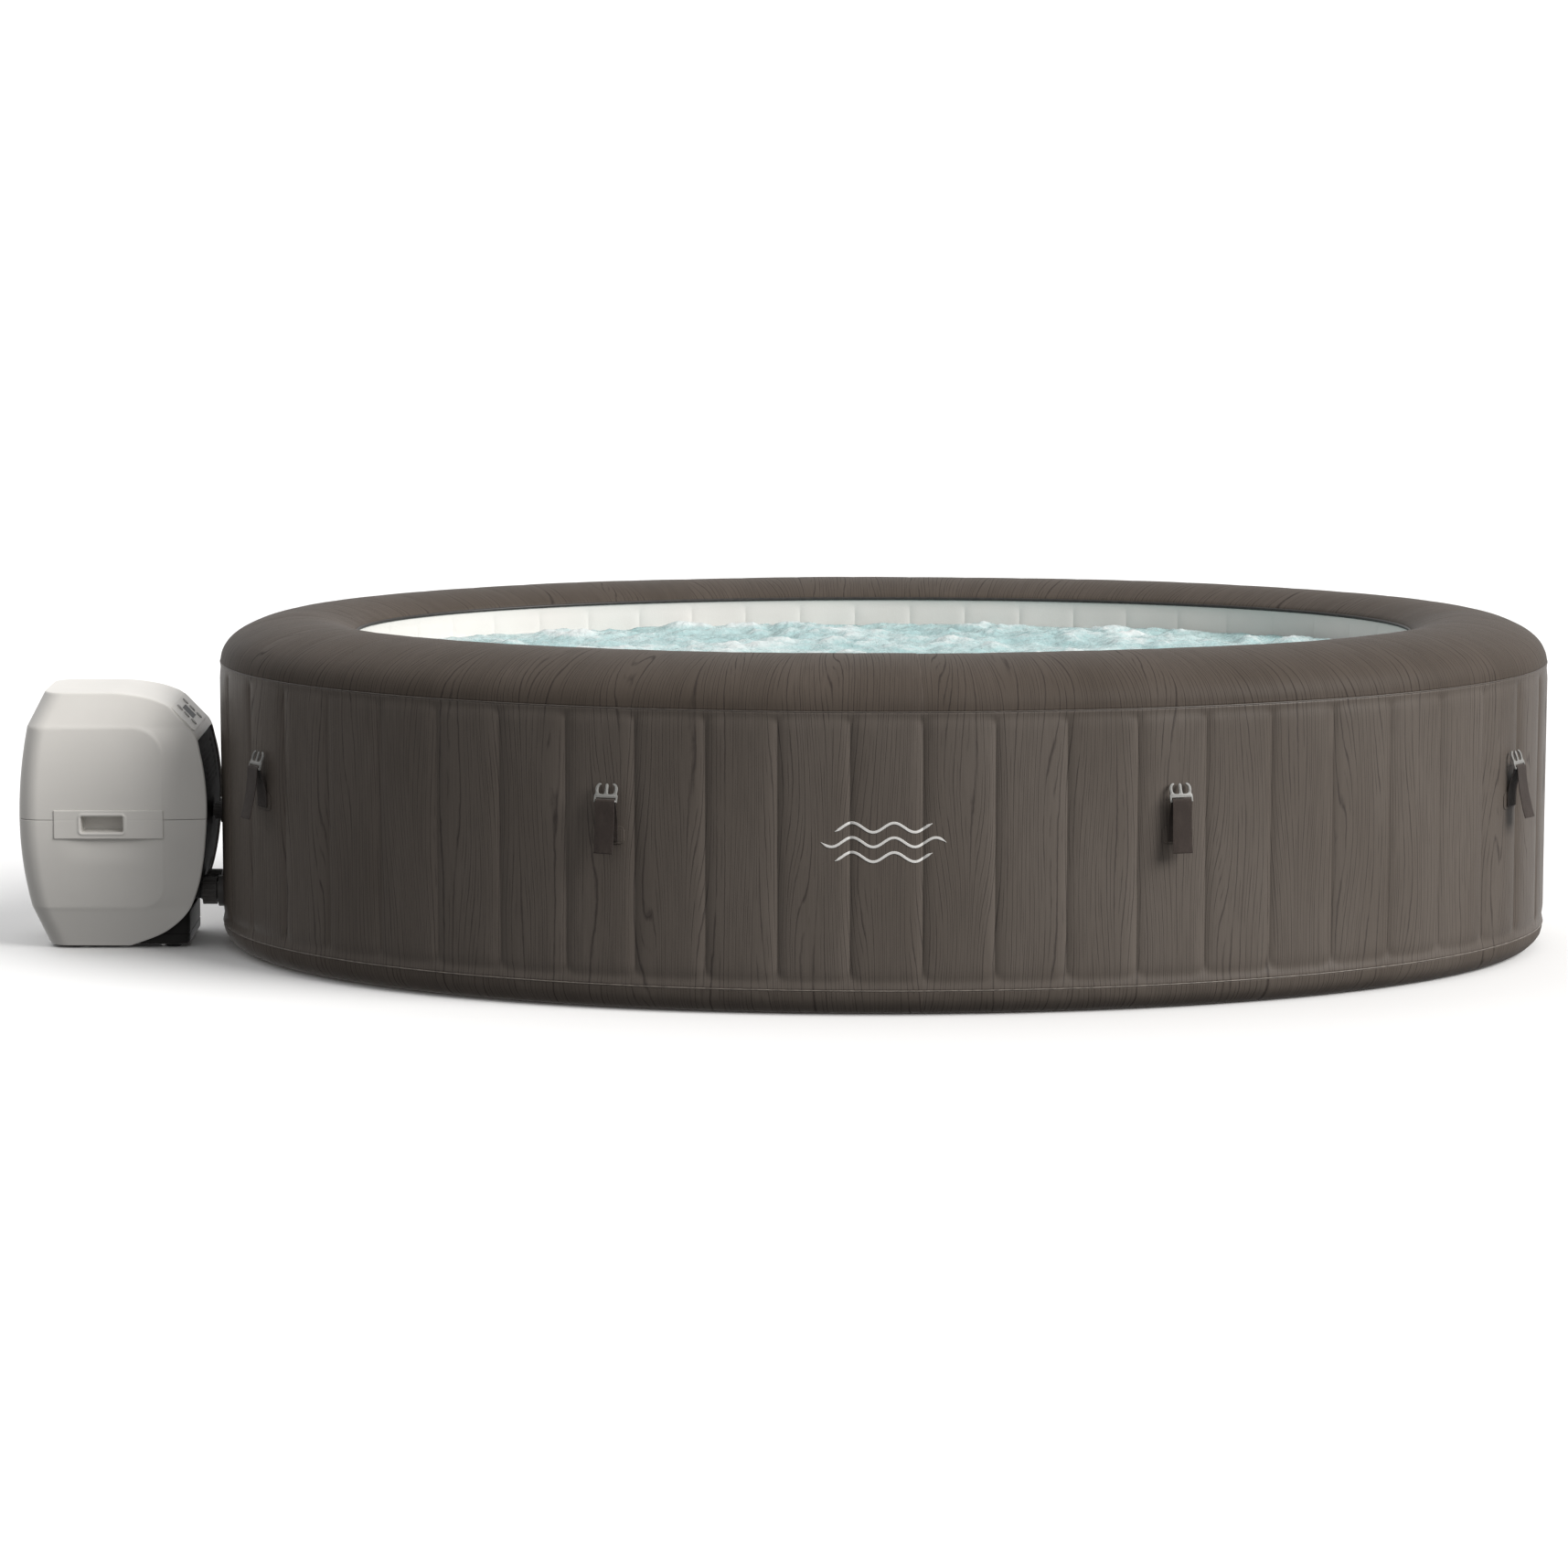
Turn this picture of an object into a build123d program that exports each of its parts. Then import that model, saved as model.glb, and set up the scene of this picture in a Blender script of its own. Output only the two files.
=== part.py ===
from build123d import *
import math
import os

os.makedirs("parts", exist_ok=True)

# Oval inflatable hot tub with a floor-standing pump and heater unit.
# Frame: origin at the centre of the tub's underside, on the floor. +X runs along the tub's
# length, away from the pump unit, +Z is up, and the pump unit stands at the -X end.
# Millimetres throughout.

# ---------------------------------------------------------------- driving dimensions
TUB_A = 1350.0          # half length of the tub at the outer wall
TUB_B = 900.0           # half width of the tub at the outer wall
TOP_SEAM_Z = 580.0      # weld between outer wall and rim
BOTTOM_SEAM_Z = 50.0    # weld between outer wall and skirt
RIM_PROFILE = [(0, 580), (4, 600), (20, 625), (50, 645), (90, 660), (130, 668), (170, 671),
               (200, 669), (235, 660), (262, 648), (275, 640)]   # inset from outer wall, height
RIM_LIP_Z = 634.5       # lower edge of the rim's inner lip
CHAMBER = 275.0         # width of the air chamber, outer wall to inner wall
SKIN = 3.0              # thickness of each laminated sheet as modelled
PANELS = 52             # welded panels round the wall
PANEL_BULGE = 3.5       # how far a panel swells between two welds
CREASE_T = -87.7        # ellipse angle of one weld, the others follow at equal spacing
FLOOR_T = 18.0          # padded floor thickness
SKIRT_IN = 60.0         # the skirt turns under the tub this far
AIR_RING_IN = 310.0     # bubble ring centre line, inset from the outer wall
AIR_RING_R = 17.0
AIR_RING_Z = 36.0

STRAP_T = [24.0, 66.5, 113.5, 156.0, -156.0, -113.5, -66.5, -24.0]   # ellipse angles of the lid straps
STRAP_W = 38.0
WEB_T = 1.6
BAR_U, BAR_Z, BAR_R = 20.0, 404.5, 2.4     # buckle bar: distance from the wall, height, radius
BUCKLE_W = 46.0
BUCKLE_L = 35.0
BUCKLE_LEAN = 21.0      # degrees, towards the wall

PUMP_X0 = -1750.0       # far side of the pump unit at its parting line
PUMP_HALF = 170.0
PUMP_PART_Z = 270.0
PUMP_SECTIONS = [(10, 50), (87, 20), (270, 0), (455, 17), (522, 50)]   # height, inset of the walls
CASE_T = 3.5
ARCH_UP = [(-1560, 522.5), (-1522, 519), (-1483, 511.5), (-1444.5, 495.5)]
ARCH_DOWN = [(-1393, 441.5), (-1379.5, 398), (-1371, 347), (-1368, 296), (-1371, 235), (-1378, 177),
             (-1390, 125), (-1411, 78), (-1453, 38), (-1510, 12), (-1530, 5)]

WATER_Y, WATER_Z, WATER_R = 53.0, 108.0, 18.0     # the two water pipes
AIR_Z, AIR_R = 265.0, 12.0                        # the air pipe above them

FILTER_R, FILTER_L = 46.0, 80.0

nodes = {}


# ---------------------------------------------------------------- helpers
def ellipse_edge(a, b, z):
    return Edge.make_ellipse(a, b, plane=Plane((0, 0, z)))


def ring_from_loop(loop):
    """Closed ring whose section is the polygon loop of (inset, height) round the tub."""
    faces = []
    n = len(loop)
    for i in range(n):
        s0, z0 = loop[i]
        s1, z1 = loop[(i + 1) % n]
        e0 = ellipse_edge(TUB_A - s0, TUB_B - s0, z0)
        e1 = ellipse_edge(TUB_A - s1, TUB_B - s1, z1)
        faces.append(Face.make_surface_from_curves(e0, e1))
    return Solid(Shell(faces))


def offset_open(points, d):
    """Open polyline moved to its right by d, vertex by vertex."""
    out = []
    n = len(points)
    for i in range(n):
        ax, az = points[max(i - 1, 0)]
        bx, bz = points[i]
        cx, cz = points[min(i + 1, n - 1)]
        n1 = n2 = None
        if i > 0:
            l = math.hypot(bx - ax, bz - az)
            n1 = ((bz - az) / l, -(bx - ax) / l)
        if i < n - 1:
            l = math.hypot(cx - bx, cz - bz)
            n2 = ((cz - bz) / l, -(cx - bx) / l)
        n1 = n1 or n2
        n2 = n2 or n1
        mx, mz = n1[0] + n2[0], n1[1] + n2[1]
        l = math.hypot(mx, mz)
        mx, mz = mx / l, mz / l
        k = d / max(0.35, mx * n1[0] + mz * n1[1])
        out.append((bx + mx * k, bz + mz * k))
    return out


def box(x0, x1, y0, y1, z0, z1):
    return Pos((x0 + x1) / 2, (y0 + y1) / 2, (z0 + z1) / 2) * Box(x1 - x0, y1 - y0, z1 - z0)


def rod(p, q, r):
    """Cylinder from p to q."""
    v = Vector(*q) - Vector(*p)
    return Solid.make_cylinder(r, v.length, Plane(origin=p, z_dir=v.normalized()))


def pipe_run(points, r):
    """Round pipe along straight runs, with ball corners."""
    s = None
    for i in range(len(points) - 1):
        c = rod(points[i], points[i + 1], r)
        s = c if s is None else s + c
        if i:
            s = s + Pos(*points[i]) * Sphere(r)
    return s


def put(name, shape):
    nodes[name] = shape


# ---------------------------------------------------------------- where the panels and straps lie
def outer_point(t, grow=0.0):
    x, y = TUB_A * math.cos(t), TUB_B * math.sin(t)
    nx, ny = TUB_B * math.cos(t), TUB_A * math.sin(t)
    l = math.hypot(nx, ny)
    return (x + nx / l * grow, y + ny / l * grow), (nx / l, ny / l)


def even_params(start_deg, count, a, b):
    steps = 14400
    t0 = math.radians(start_deg)
    cum = [0.0]
    for i in range(steps):
        t = t0 + 2 * math.pi * (i + 0.5) / steps
        cum.append(cum[-1] + math.hypot(a * math.sin(t), b * math.cos(t)) * 2 * math.pi / steps)
    out, j = [], 0
    for k in range(count):
        want = cum[-1] * k / count
        while cum[j + 1] < want:
            j += 1
        f = (want - cum[j]) / (cum[j + 1] - cum[j])
        out.append(t0 + 2 * math.pi * (j + f) / steps)
    return out


crease_t = even_params(CREASE_T, PANELS, TUB_A, TUB_B)
INNER_A, INNER_B = TUB_A - CHAMBER, TUB_B - CHAMBER


def inner_hit(t):
    """Ellipse angle on the inner wall that the outer wall's normal at t points at."""
    (px, py), (nx, ny) = outer_point(t)
    a, b = INNER_A, INNER_B
    qa = (nx / a) ** 2 + (ny / b) ** 2
    qb = -2 * (px * nx / a ** 2 + py * ny / b ** 2)
    qc = (px / a) ** 2 + (py / b) ** 2 - 1
    s = (-qb - math.sqrt(qb * qb - 4 * qa * qc)) / (2 * qa)
    x, y = px - s * nx, py - s * ny
    u = math.atan2(y / b, x / a)
    while u < t - math.pi:
        u += 2 * math.pi
    while u > t + math.pi:
        u -= 2 * math.pi
    return u, (x, y)


def scallop(a, b, params, crease, crest):
    """Closed outline of arcs: crease and crest are the offsets from the ellipse (a, b) along its
    outward normal at the welds and half way between them."""
    def at(t, g):
        nx, ny = b * math.cos(t), a * math.sin(t)
        l = math.hypot(nx, ny)
        return (a * math.cos(t) + nx / l * g, b * math.sin(t) + ny / l * g)
    edges = []
    n = len(params)
    for k in range(n):
        t0 = params[k]
        t1 = params[(k + 1) % n] + (2 * math.pi if k == n - 1 else 0)
        edges.append(ThreePointArc(at(t0, crease), at((t0 + t1) / 2, crest), at(t1, crease)))
    return Wire(edges)


def wall(outer, inner, z0, z1):
    face = Face(outer, [inner])
    return Pos(0, 0, z0) * Solid.extrude(face, Vector(0, 0, z1 - z0))


# ---------------------------------------------------------------- tub: walls, rim, skirt, floor
outer_wall = wall(scallop(TUB_A, TUB_B, crease_t, -PANEL_BULGE, 0.0),
                  scallop(TUB_A, TUB_B, crease_t, -PANEL_BULGE - SKIN, -SKIN),
                  BOTTOM_SEAM_Z + 0.2, TOP_SEAM_Z - 0.2)

inner_t = [inner_hit(t)[0] for t in crease_t]
inner_wall = wall(scallop(INNER_A, INNER_B, inner_t, PANEL_BULGE + SKIN, SKIN),
                  scallop(INNER_A, INNER_B, inner_t, PANEL_BULGE, 0.0),
                  FLOOR_T + 0.2, RIM_LIP_Z - 0.2)

rim_under = [p for p in offset_open(RIM_PROFILE, SKIN)]
rim_under[0] = (SKIN, TOP_SEAM_Z)
rim_under[-1] = (CHAMBER - 6.5, RIM_LIP_Z + 3.5)
top_rim = ring_from_loop(RIM_PROFILE + [(CHAMBER, RIM_LIP_Z), (CHAMBER - 8.0, RIM_LIP_Z)]
                         + rim_under[::-1])

skirt_outside = [(0, BOTTOM_SEAM_Z), (2, 36), (9, 22), (20, 11), (33, 3.5), (44, 0), (SKIRT_IN, 0)]
skirt_inside = offset_open(skirt_outside, -SKIN)
skirt_inside[0] = (SKIN, BOTTOM_SEAM_Z)
skirt_inside[-1] = (SKIRT_IN, SKIN)
base_skirt = ring_from_loop(skirt_outside + skirt_inside[::-1])

floor_face = Face(Wire([ellipse_edge(TUB_A - SKIRT_IN - 0.3, TUB_B - SKIRT_IN - 0.3, 0)]))
tub_floor = Solid.extrude(floor_face, Vector(0, 0, FLOOR_T))


def ring_tube(r):
    loop = []
    for i in range(16):
        q = 2 * math.pi * i / 16
        loop.append((AIR_RING_IN + r * math.cos(q), AIR_RING_Z + r * math.sin(q)))
    return ring_from_loop(loop)


air_ring = ring_tube(AIR_RING_R) - ring_tube(AIR_RING_R - 2.5)
air_ring = air_ring - rod((-1075, 0, AIR_RING_Z), (-1041, 0, AIR_RING_Z), 9.0)

# webs that tie the outer wall to the inner wall at each weld, left out where a fitting passes
DRAIN_Z = 88.0
AIR_VALVE_T, AIR_VALVE_Z = math.radians(166.0), 200.0
webs = []
for t in crease_t:
    (ox, oy), (nx, ny) = outer_point(t, -PANEL_BULGE - SKIN - 0.6)
    ix, iy = inner_hit(t)[1]
    ln = math.hypot(ox - ix, oy - iy) - PANEL_BULGE - SKIN - 0.8
    if ox < 0 and abs(oy) < 100:
        continue
    if abs(ox) < 45 and oy > 0:
        continue
    (vx, vy), _ = outer_point(AIR_VALVE_T)
    if math.hypot(ox - vx, oy - vy) < 38:
        continue
    pl = Plane(origin=(ox - nx * ln / 2, oy - ny * ln / 2, 320), x_dir=(nx, ny, 0), z_dir=(0, 0, 1))
    webs.append(pl * Box(ln, 2.0, 500))

# ---------------------------------------------------------------- pipes through the wall
X_OUT, X_IN = -TUB_A, -INNER_A
# what lies inside the outer wall, and the basin inside the inner wall, each with a small gap
tub_prism = Solid.extrude(Face(scallop(TUB_A, TUB_B, crease_t, -PANEL_BULGE + 0.3, 0.3)), Vector(0, 0, 500))
basin_prism = Solid.extrude(Face(scallop(INNER_A, INNER_B, inner_t, PANEL_BULGE - 0.3, -0.3)), Vector(0, 0, 500))


def water_fitting(y, inner_r):
    tube = rod((-1392, y, WATER_Z), (X_IN + 22, y, WATER_Z), WATER_R)
    tube = tube + (rod((X_OUT - 6, y, WATER_Z), (X_OUT + 30, y, WATER_Z), 32) - tub_prism)
    tube = tube + rod((X_OUT + 18, y, WATER_Z), (X_OUT + 23, y, WATER_Z), 30)
    tube = tube + (rod((X_IN - 12, y, WATER_Z), (X_IN + 19, y, WATER_Z), inner_r) & basin_prism)
    tube = tube + rod((X_IN - 16, y, WATER_Z), (X_IN - 11, y, WATER_Z), 28)
    return tube - rod((-1400, y, WATER_Z), (-1000, y, WATER_Z), WATER_R - 3.0)


inlet_wall_fitting = water_fitting(-WATER_Y, 50.0)
outlet_wall_fitting = water_fitting(WATER_Y, 32.0)

air_path = [(-1374, 0, AIR_Z), (-1240, 0, AIR_Z), (-1240, 0, AIR_RING_Z), (-1058.0, 0, AIR_RING_Z)]
air_wall_fitting = pipe_run(air_path, AIR_R)
air_wall_fitting = air_wall_fitting + rod((X_OUT - 4.5, 0, AIR_Z), (X_OUT - 0.8, 0, AIR_Z), 24)
air_wall_fitting = air_wall_fitting + rod((X_OUT + 8, 0, AIR_Z), (X_OUT + 12, 0, AIR_Z), 22)
air_bore = [(-1380, 0, AIR_Z)] + air_path[1:-1] + [(-1050.0, 0, AIR_RING_Z)]
air_wall_fitting = air_wall_fitting - pipe_run(air_bore, AIR_R - 3.0)

for y in (-WATER_Y, WATER_Y):
    hole = rod((-1400, y, WATER_Z), (-1000, y, WATER_Z), WATER_R + 0.4)
    outer_wall = outer_wall - hole
    inner_wall = inner_wall - hole
outer_wall = outer_wall - rod((-1400, 0, AIR_Z), (-1300, 0, AIR_Z), AIR_R + 0.4)
inner_wall = inner_wall - rod((-1100, 0, AIR_RING_Z), (-1050, 0, AIR_RING_Z), AIR_R + 0.4)

# filter cartridge and its slotted cover, on the inlet inside the basin
FX0 = X_IN + 24.5
pleats = []
PLEATS = 40
for i in range(PLEATS):
    for j, r in ((0, FILTER_R), (1, FILTER_R - 8.0)):
        q = 2 * math.pi * (i + j * 0.5) / PLEATS
        pleats.append((r * math.cos(q), r * math.sin(q)))
pl_filter = Plane(origin=(FX0 + 4, -WATER_Y, WATER_Z), x_dir=(0, 1, 0), z_dir=(1, 0, 0))
pleat_face = Face(Wire.make_polygon([Vector(*p) for p in pleats], close=True))
filter_cartridge = pl_filter * Solid.extrude(pleat_face, Vector(0, 0, FILTER_L - 8))
filter_cartridge = (filter_cartridge
                    + rod((FX0, -WATER_Y, WATER_Z), (FX0 + 4, -WATER_Y, WATER_Z), FILTER_R + 2)
                    + rod((FX0 + FILTER_L - 4, -WATER_Y, WATER_Z), (FX0 + FILTER_L, -WATER_Y, WATER_Z), FILTER_R + 2)
                    - rod((FX0 - 1, -WATER_Y, WATER_Z), (FX0 + FILTER_L + 1, -WATER_Y, WATER_Z), 20))

cover = (rod((X_IN + 20, -WATER_Y, WATER_Z), (FX0 + FILTER_L + 5, -WATER_Y, WATER_Z), 52.5)
         - rod((X_IN + 18, -WATER_Y, WATER_Z), (FX0 + FILTER_L + 2, -WATER_Y, WATER_Z), 49.8))
slot_tool = Box(300, 3.2, 300)
for k in range(12):
    q = 30.0 * k
    cover = cover - (Plane(origin=(FX0 + 38, -WATER_Y, WATER_Z), x_dir=(1, 0, 0), z_dir=(0, 0, 1))
                     * Rot(q, 0, 0) * Pos(0, 0, 51) * Box(56, 7, 9))
for k in range(-3, 4):
    hgt = 2 * math.sqrt(44.0 ** 2 - (k * 11.0) ** 2)
    cover = cover - Pos(FX0 + FILTER_L + 3.5, -WATER_Y + k * 11.0, WATER_Z) * Box(8, 4, hgt)
filter_cover = cover

grate = rod((X_IN + 19.2, WATER_Y, WATER_Z), (X_IN + 31, WATER_Y, WATER_Z), 33) \
    - rod((X_IN + 18.0, WATER_Y, WATER_Z), (X_IN + 28.5, WATER_Y, WATER_Z), 30.5)
for k in range(-2, 3):
    hgt = 2 * math.sqrt(27.0 ** 2 - (k * 9.0) ** 2)
    grate = grate - Pos(X_IN + 30, WATER_Y + k * 9.0, WATER_Z) * Box(6, 4, hgt)
outlet_grate = grate


# ---------------------------------------------------------------- valves in the outer wall
def wall_plane(t, z):
    """Local frame on the outer wall: x outwards, y up, z along the wall."""
    (px, py), (nx, ny) = outer_point(t)
    return Plane(origin=(px, py, z), x_dir=(nx, ny, 0), z_dir=(ny, -nx, 0))


def on_axis(plane, u0, u1, r):
    """Cylinder along the wall's normal between distances u0 and u1 from the wall."""
    p = plane.origin + plane.x_dir * u0
    q = plane.origin + plane.x_dir * u1
    return rod((p.X, p.Y, p.Z), (q.X, q.Y, q.Z), r)


def ribbed_cap(plane, u0, u1, r_in, r_out, ribs):
    cap = on_axis(plane, u0, u1, r_out) - on_axis(plane, u0 - 1, u1 - 3.0, r_in)
    for k in range(ribs):
        q = 2 * math.pi * k / ribs
        c = (plane.origin + plane.x_dir * ((u0 + u1) / 2)
             + plane.y_dir * (r_out + 0.5) * math.cos(q) + plane.z_dir * (r_out + 0.5) * math.sin(q))
        p = c - plane.x_dir * ((u1 - u0) / 2 - 1)
        e = c + plane.x_dir * ((u1 - u0) / 2 - 1)
        cap = cap - rod((p.X, p.Y, p.Z), (e.X, e.Y, e.Z), 1.4)
    return cap


pa = wall_plane(AIR_VALVE_T, AIR_VALVE_Z)
air_valve_body = (on_axis(pa, 0.8, 4.5, 30) + on_axis(pa, -26, 4.5, 17) + on_axis(pa, 4.5, 16, 16)
                  + on_axis(pa, -12, -8, 26) - on_axis(pa, -30, 20, 12))
air_valve_cap = ribbed_cap(pa, 5.3, 21.0, 16.4, 21.5, 24)
outer_wall = outer_wall - on_axis(pa, -20, 10, 17.5)

pd = wall_plane(math.radians(90.0), DRAIN_Z)
drain_valve_body = (on_axis(pd, 0.8, 4.5, 32) + on_axis(pd, -CHAMBER - 7, 4.5, 18)
                    + on_axis(pd, 4.5, 18, 22) + on_axis(pd, -CHAMBER - 5, -CHAMBER - 1.0, 26)
                    + on_axis(pd, -12, -8, 28) + on_axis(pd, -CHAMBER + 8, -CHAMBER + 12, 26)
                    - on_axis(pd, -CHAMBER - 10, 30, 14))
drain_valve_cap = ribbed_cap(pd, 5.3, 23.0, 22.4, 28.0, 28)
outer_wall = outer_wall - on_axis(pd, -20, 10, 18.5)
inner_wall = inner_wall - on_axis(pd, -CHAMBER - 20, -CHAMBER + 20, 18.5)

# ---------------------------------------------------------------- lid straps and buckles
anchors = []
strap_path = [(3.5, 326.0), (3.5, 349.0), (8.0, 376.0), (BAR_U - 3.6, BAR_Z - 3.0),
              (BAR_U - 3.4, BAR_Z + 1.4), (BAR_U - 1.5, BAR_Z + 3.5), (BAR_U + 1.5, BAR_Z + 3.5),
              (BAR_U + 3.4, BAR_Z + 1.4), (BAR_U + 4.0, BAR_Z - 3.0), (26.5, 378.0), (33.0, 345.0), (44.0, 306.0)]
left = offset_open(strap_path, -WEB_T / 2)
right = offset_open(strap_path, WEB_T / 2)
strap_poly = left + right[::-1]
lean = math.radians(BUCKLE_LEAN)
for k, deg in enumerate(STRAP_T, start=1):
    pl = wall_plane(math.radians(deg), 0.0)
    anchors.append(pl * Pos(1.6, 338, 0) * Box(1.8, 34, 62))
    strap_face = Face(Wire.make_polygon([Vector(u, v) for u, v in strap_poly], close=True))
    put("strap_%d" % k, pl * Pos(0, 0, -STRAP_W / 2) * Solid.extrude(strap_face, Vector(0, 0, STRAP_W)))

    # buckle: x across, y from the bar towards the prong tips, z through its thickness
    org = pl.origin + pl.x_dir * BAR_U + Vector(0, 0, BAR_Z)
    up = Vector(0, 0, 1) * math.cos(lean) - pl.x_dir * math.sin(lean)
    bp = Plane(origin=org, x_dir=pl.z_dir, z_dir=pl.z_dir.cross(up))
    w = BUCKLE_W / 2
    bk = box(-w, w, 6.8, 12.5, -2.2, 2.2)
    bk = bk + box(-w, -STRAP_W / 2 - 0.6, -2.4, 8, -2.2, 2.2) + box(STRAP_W / 2 + 0.6, w, -2.4, 8, -2.2, 2.2)
    bk = bk + rod((-w + 1, 0, 0), (w - 1, 0, 0), BAR_R)
    for sgn in (-1, 1):
        tip = [(sgn * 20.0, 12.0), (sgn * 20.5, 24.0), (sgn * 17.0, 31.0), (sgn * 12.5, BUCKLE_L),
               (sgn * 11.0, BUCKLE_L - 3), (sgn * 14.0, 28.0), (sgn * 15.5, 22.0), (sgn * 15.0, 12.0)]
        f = Face(Wire.make_polygon([Vector(*p) for p in tip], close=True))
        bk = bk + Pos(0, 0, -1.8) * Solid.extrude(f, Vector(0, 0, 3.6) if f.normal_at().Z > 0 else Vector(0, 0, 3.6))
    bk = bk + box(-3.0, 3.0, 12.0, BUCKLE_L - 1.5, -1.8, 1.8)
    put("buckle_%d" % k, bp * bk)


# ---------------------------------------------------------------- pump unit casing
def arch_profile(d):
    up = offset_open(ARCH_UP + ARCH_DOWN[:1], d)[:-1]
    down = offset_open(ARCH_UP[-1:] + ARCH_DOWN, d)[1:]
    p1, p2 = up[-1], down[0]
    # keep the flat that carries the control panel
    ex, ez = ARCH_DOWN[0][0] - ARCH_UP[-1][0], ARCH_DOWN[0][1] - ARCH_UP[-1][1]
    l = math.hypot(ex, ez)
    tan = Vector(ex / l, 0, ez / l)
    def v(p):
        return Vector(p[0], 0, p[1])
    s1 = Edge.make_spline([v(p) for p in up], tangents=[Vector(1, 0, 0), tan])
    ln = Edge.make_line(v(p1), v(p2))
    d0, d1 = down[-2], down[-1]
    l2 = math.hypot(d1[0] - d0[0], d1[1] - d0[1])
    s2 = Edge.make_spline([v(p) for p in down],
                          tangents=[tan, Vector((d1[0] - d0[0]) / l2, 0, (d1[1] - d0[1]) / l2)])
    a, b = v(down[-1]), v(up[0])
    c1, c2 = Vector(-1900, 0, a.Z), Vector(-1900, 0, b.Z)
    return Wire([s1, ln, s2, Edge.make_line(a, c1), Edge.make_line(c1, c2), Edge.make_line(c2, b)])


def casing_block(d, bottom):
    wires = []
    for i, (z, ins) in enumerate(PUMP_SECTIONS):
        zz = z
        if i == 0:
            zz = bottom
        if i == len(PUMP_SECTIONS) - 1:
            zz = z - d
        x0 = PUMP_X0 + ins + d
        x1 = -1200.0
        hy = PUMP_HALF - ins - d
        r = max(8.0, 42.0 - d)
        sk = Pos((x0 + x1) / 2, 0, zz) * RectangleRounded(x1 - x0, 2 * hy, r)
        wires.append(sk.faces()[0].outer_wire())
    block = Solid.make_loft(wires, ruled=True)
    face = Face(arch_profile(d))
    prism = Pos(0, 260, 0) * Solid.extrude(face, Vector(0, -520, 0))
    out = block & prism
    return out


outer_block = casing_block(0.0, 10.0)
inner_block = casing_block(CASE_T, 4.0)
shell = outer_block - inner_block

# tray under the unit, showing below the arch on the tub side
TX0, TX1, TY, TZ = -1668.0, -1420.0, 112.0, 70.0
base_tray = box(TX0, TX1, -TY, TY, 6, TZ) - box(TX0 + 3, TX1 - 3, -TY + 3, TY - 3, 9, TZ + 10)
shell = shell - box(-1560, TX1 + 0.5, -TY - 0.5, TY + 0.5, -10, TZ + 0.5)

# recessed panel that the pipes come out of
PORT = (-1480.0, -1340.0, 150.0, 78.0, 430.0)
shell = shell - box(PORT[0], PORT[1], -PORT[2], PORT[2], PORT[3], PORT[4])
panel_skin = casing_block(4.0, 4.0) - casing_block(8.0, 4.0)
port_panel = panel_skin & box(PORT[0] + 0.5, PORT[1], -PORT[2] + 0.5, PORT[2] - 0.5, PORT[3] + 0.5, PORT[4] - 0.5)
for y in (-WATER_Y, WATER_Y):
    port_panel = port_panel - rod((-1500, y, WATER_Z), (-1300, y, WATER_Z), WATER_R + 1.0)
port_panel = port_panel - rod((-1500, 0, AIR_Z), (-1300, 0, AIR_Z), AIR_R + 1.0)

# hand grips let into both sides, with a finger pocket
GX0, GX1, GZ0, GZ1 = -1676.0, -1455.0, 232.0, 290.0
SX0, SX1, SZ0, SZ1 = -1622.0, -1536.0, 245.0, 278.0
shell = shell - box(GX0 - 0.5, GX1 + 0.5, -200, -140, GZ0 - 0.5, GZ1 + 0.5)
shell = shell - box(GX0 - 0.5, GX1 + 0.5, 140, 200, GZ0 - 0.5, GZ1 + 0.5)
grip = box(GX0, GX1, -PUMP_HALF - 2.4, -PUMP_HALF + 4.6, GZ0, GZ1)
grip = grip + box(SX0 - 4, SX1 + 4, -PUMP_HALF + 3, -128, SZ0 - 4, SZ1 + 4)
grip = grip - box(SX0, SX1, -200, -132, SZ0, SZ1)
grip_b = mirror(grip, about=Plane.XZ)

# control panel on the flat of the arch that faces the bather
FX, FZ = ARCH_DOWN[0][0] - ARCH_UP[-1][0], ARCH_DOWN[0][1] - ARCH_UP[-1][1]
FL = math.hypot(FX, FZ)
ctl = Plane(origin=((ARCH_DOWN[0][0] + ARCH_UP[-1][0]) / 2, 0, (ARCH_DOWN[0][1] + ARCH_UP[-1][1]) / 2),
            x_dir=(0, 1, 0), z_dir=(-FZ / FL, 0, FX / FL))
# ctl: x across the unit, z out of the panel
panel = extrude(Pos(0, 0, -3) * RectangleRounded(252, 66, 9), amount=5.0)
shell = shell - ctl * extrude(Pos(0, 0, -14) * RectangleRounded(252.8, 66.8, 9.4), amount=24.0)
panel = panel - Pos(0, 0, 1.0) * Box(57, 31, 2.6)
BUTTONS = {"button_power": (-52, -20), "button_heat": (-52, 0), "button_filter": (-52, 20),
           "button_bubbles": (52, -20), "button_up": (52, 0), "button_down": (52, 20)}
for name, (bx, by) in BUTTONS.items():
    panel = panel - Pos(bx, by, 0) * Cylinder(7.8, 30)
    b = (Pos(bx, by, -0.2) * Cylinder(7.5, 7.6)) + (Pos(bx, by, -4.2) * Cylinder(9.4, 1.6))
    put(name, ctl * b)
control_panel = ctl * panel
display_window = ctl * (Pos(0, 0, 0.95) * Box(56, 30, 2.0))

upper_casing = shell & box(-1900, -1200, -300, 300, PUMP_PART_Z + 0.4, 700)
lower_casing = shell & box(-1900, -1200, -300, 300, -10, PUMP_PART_Z - 0.4)

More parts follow.
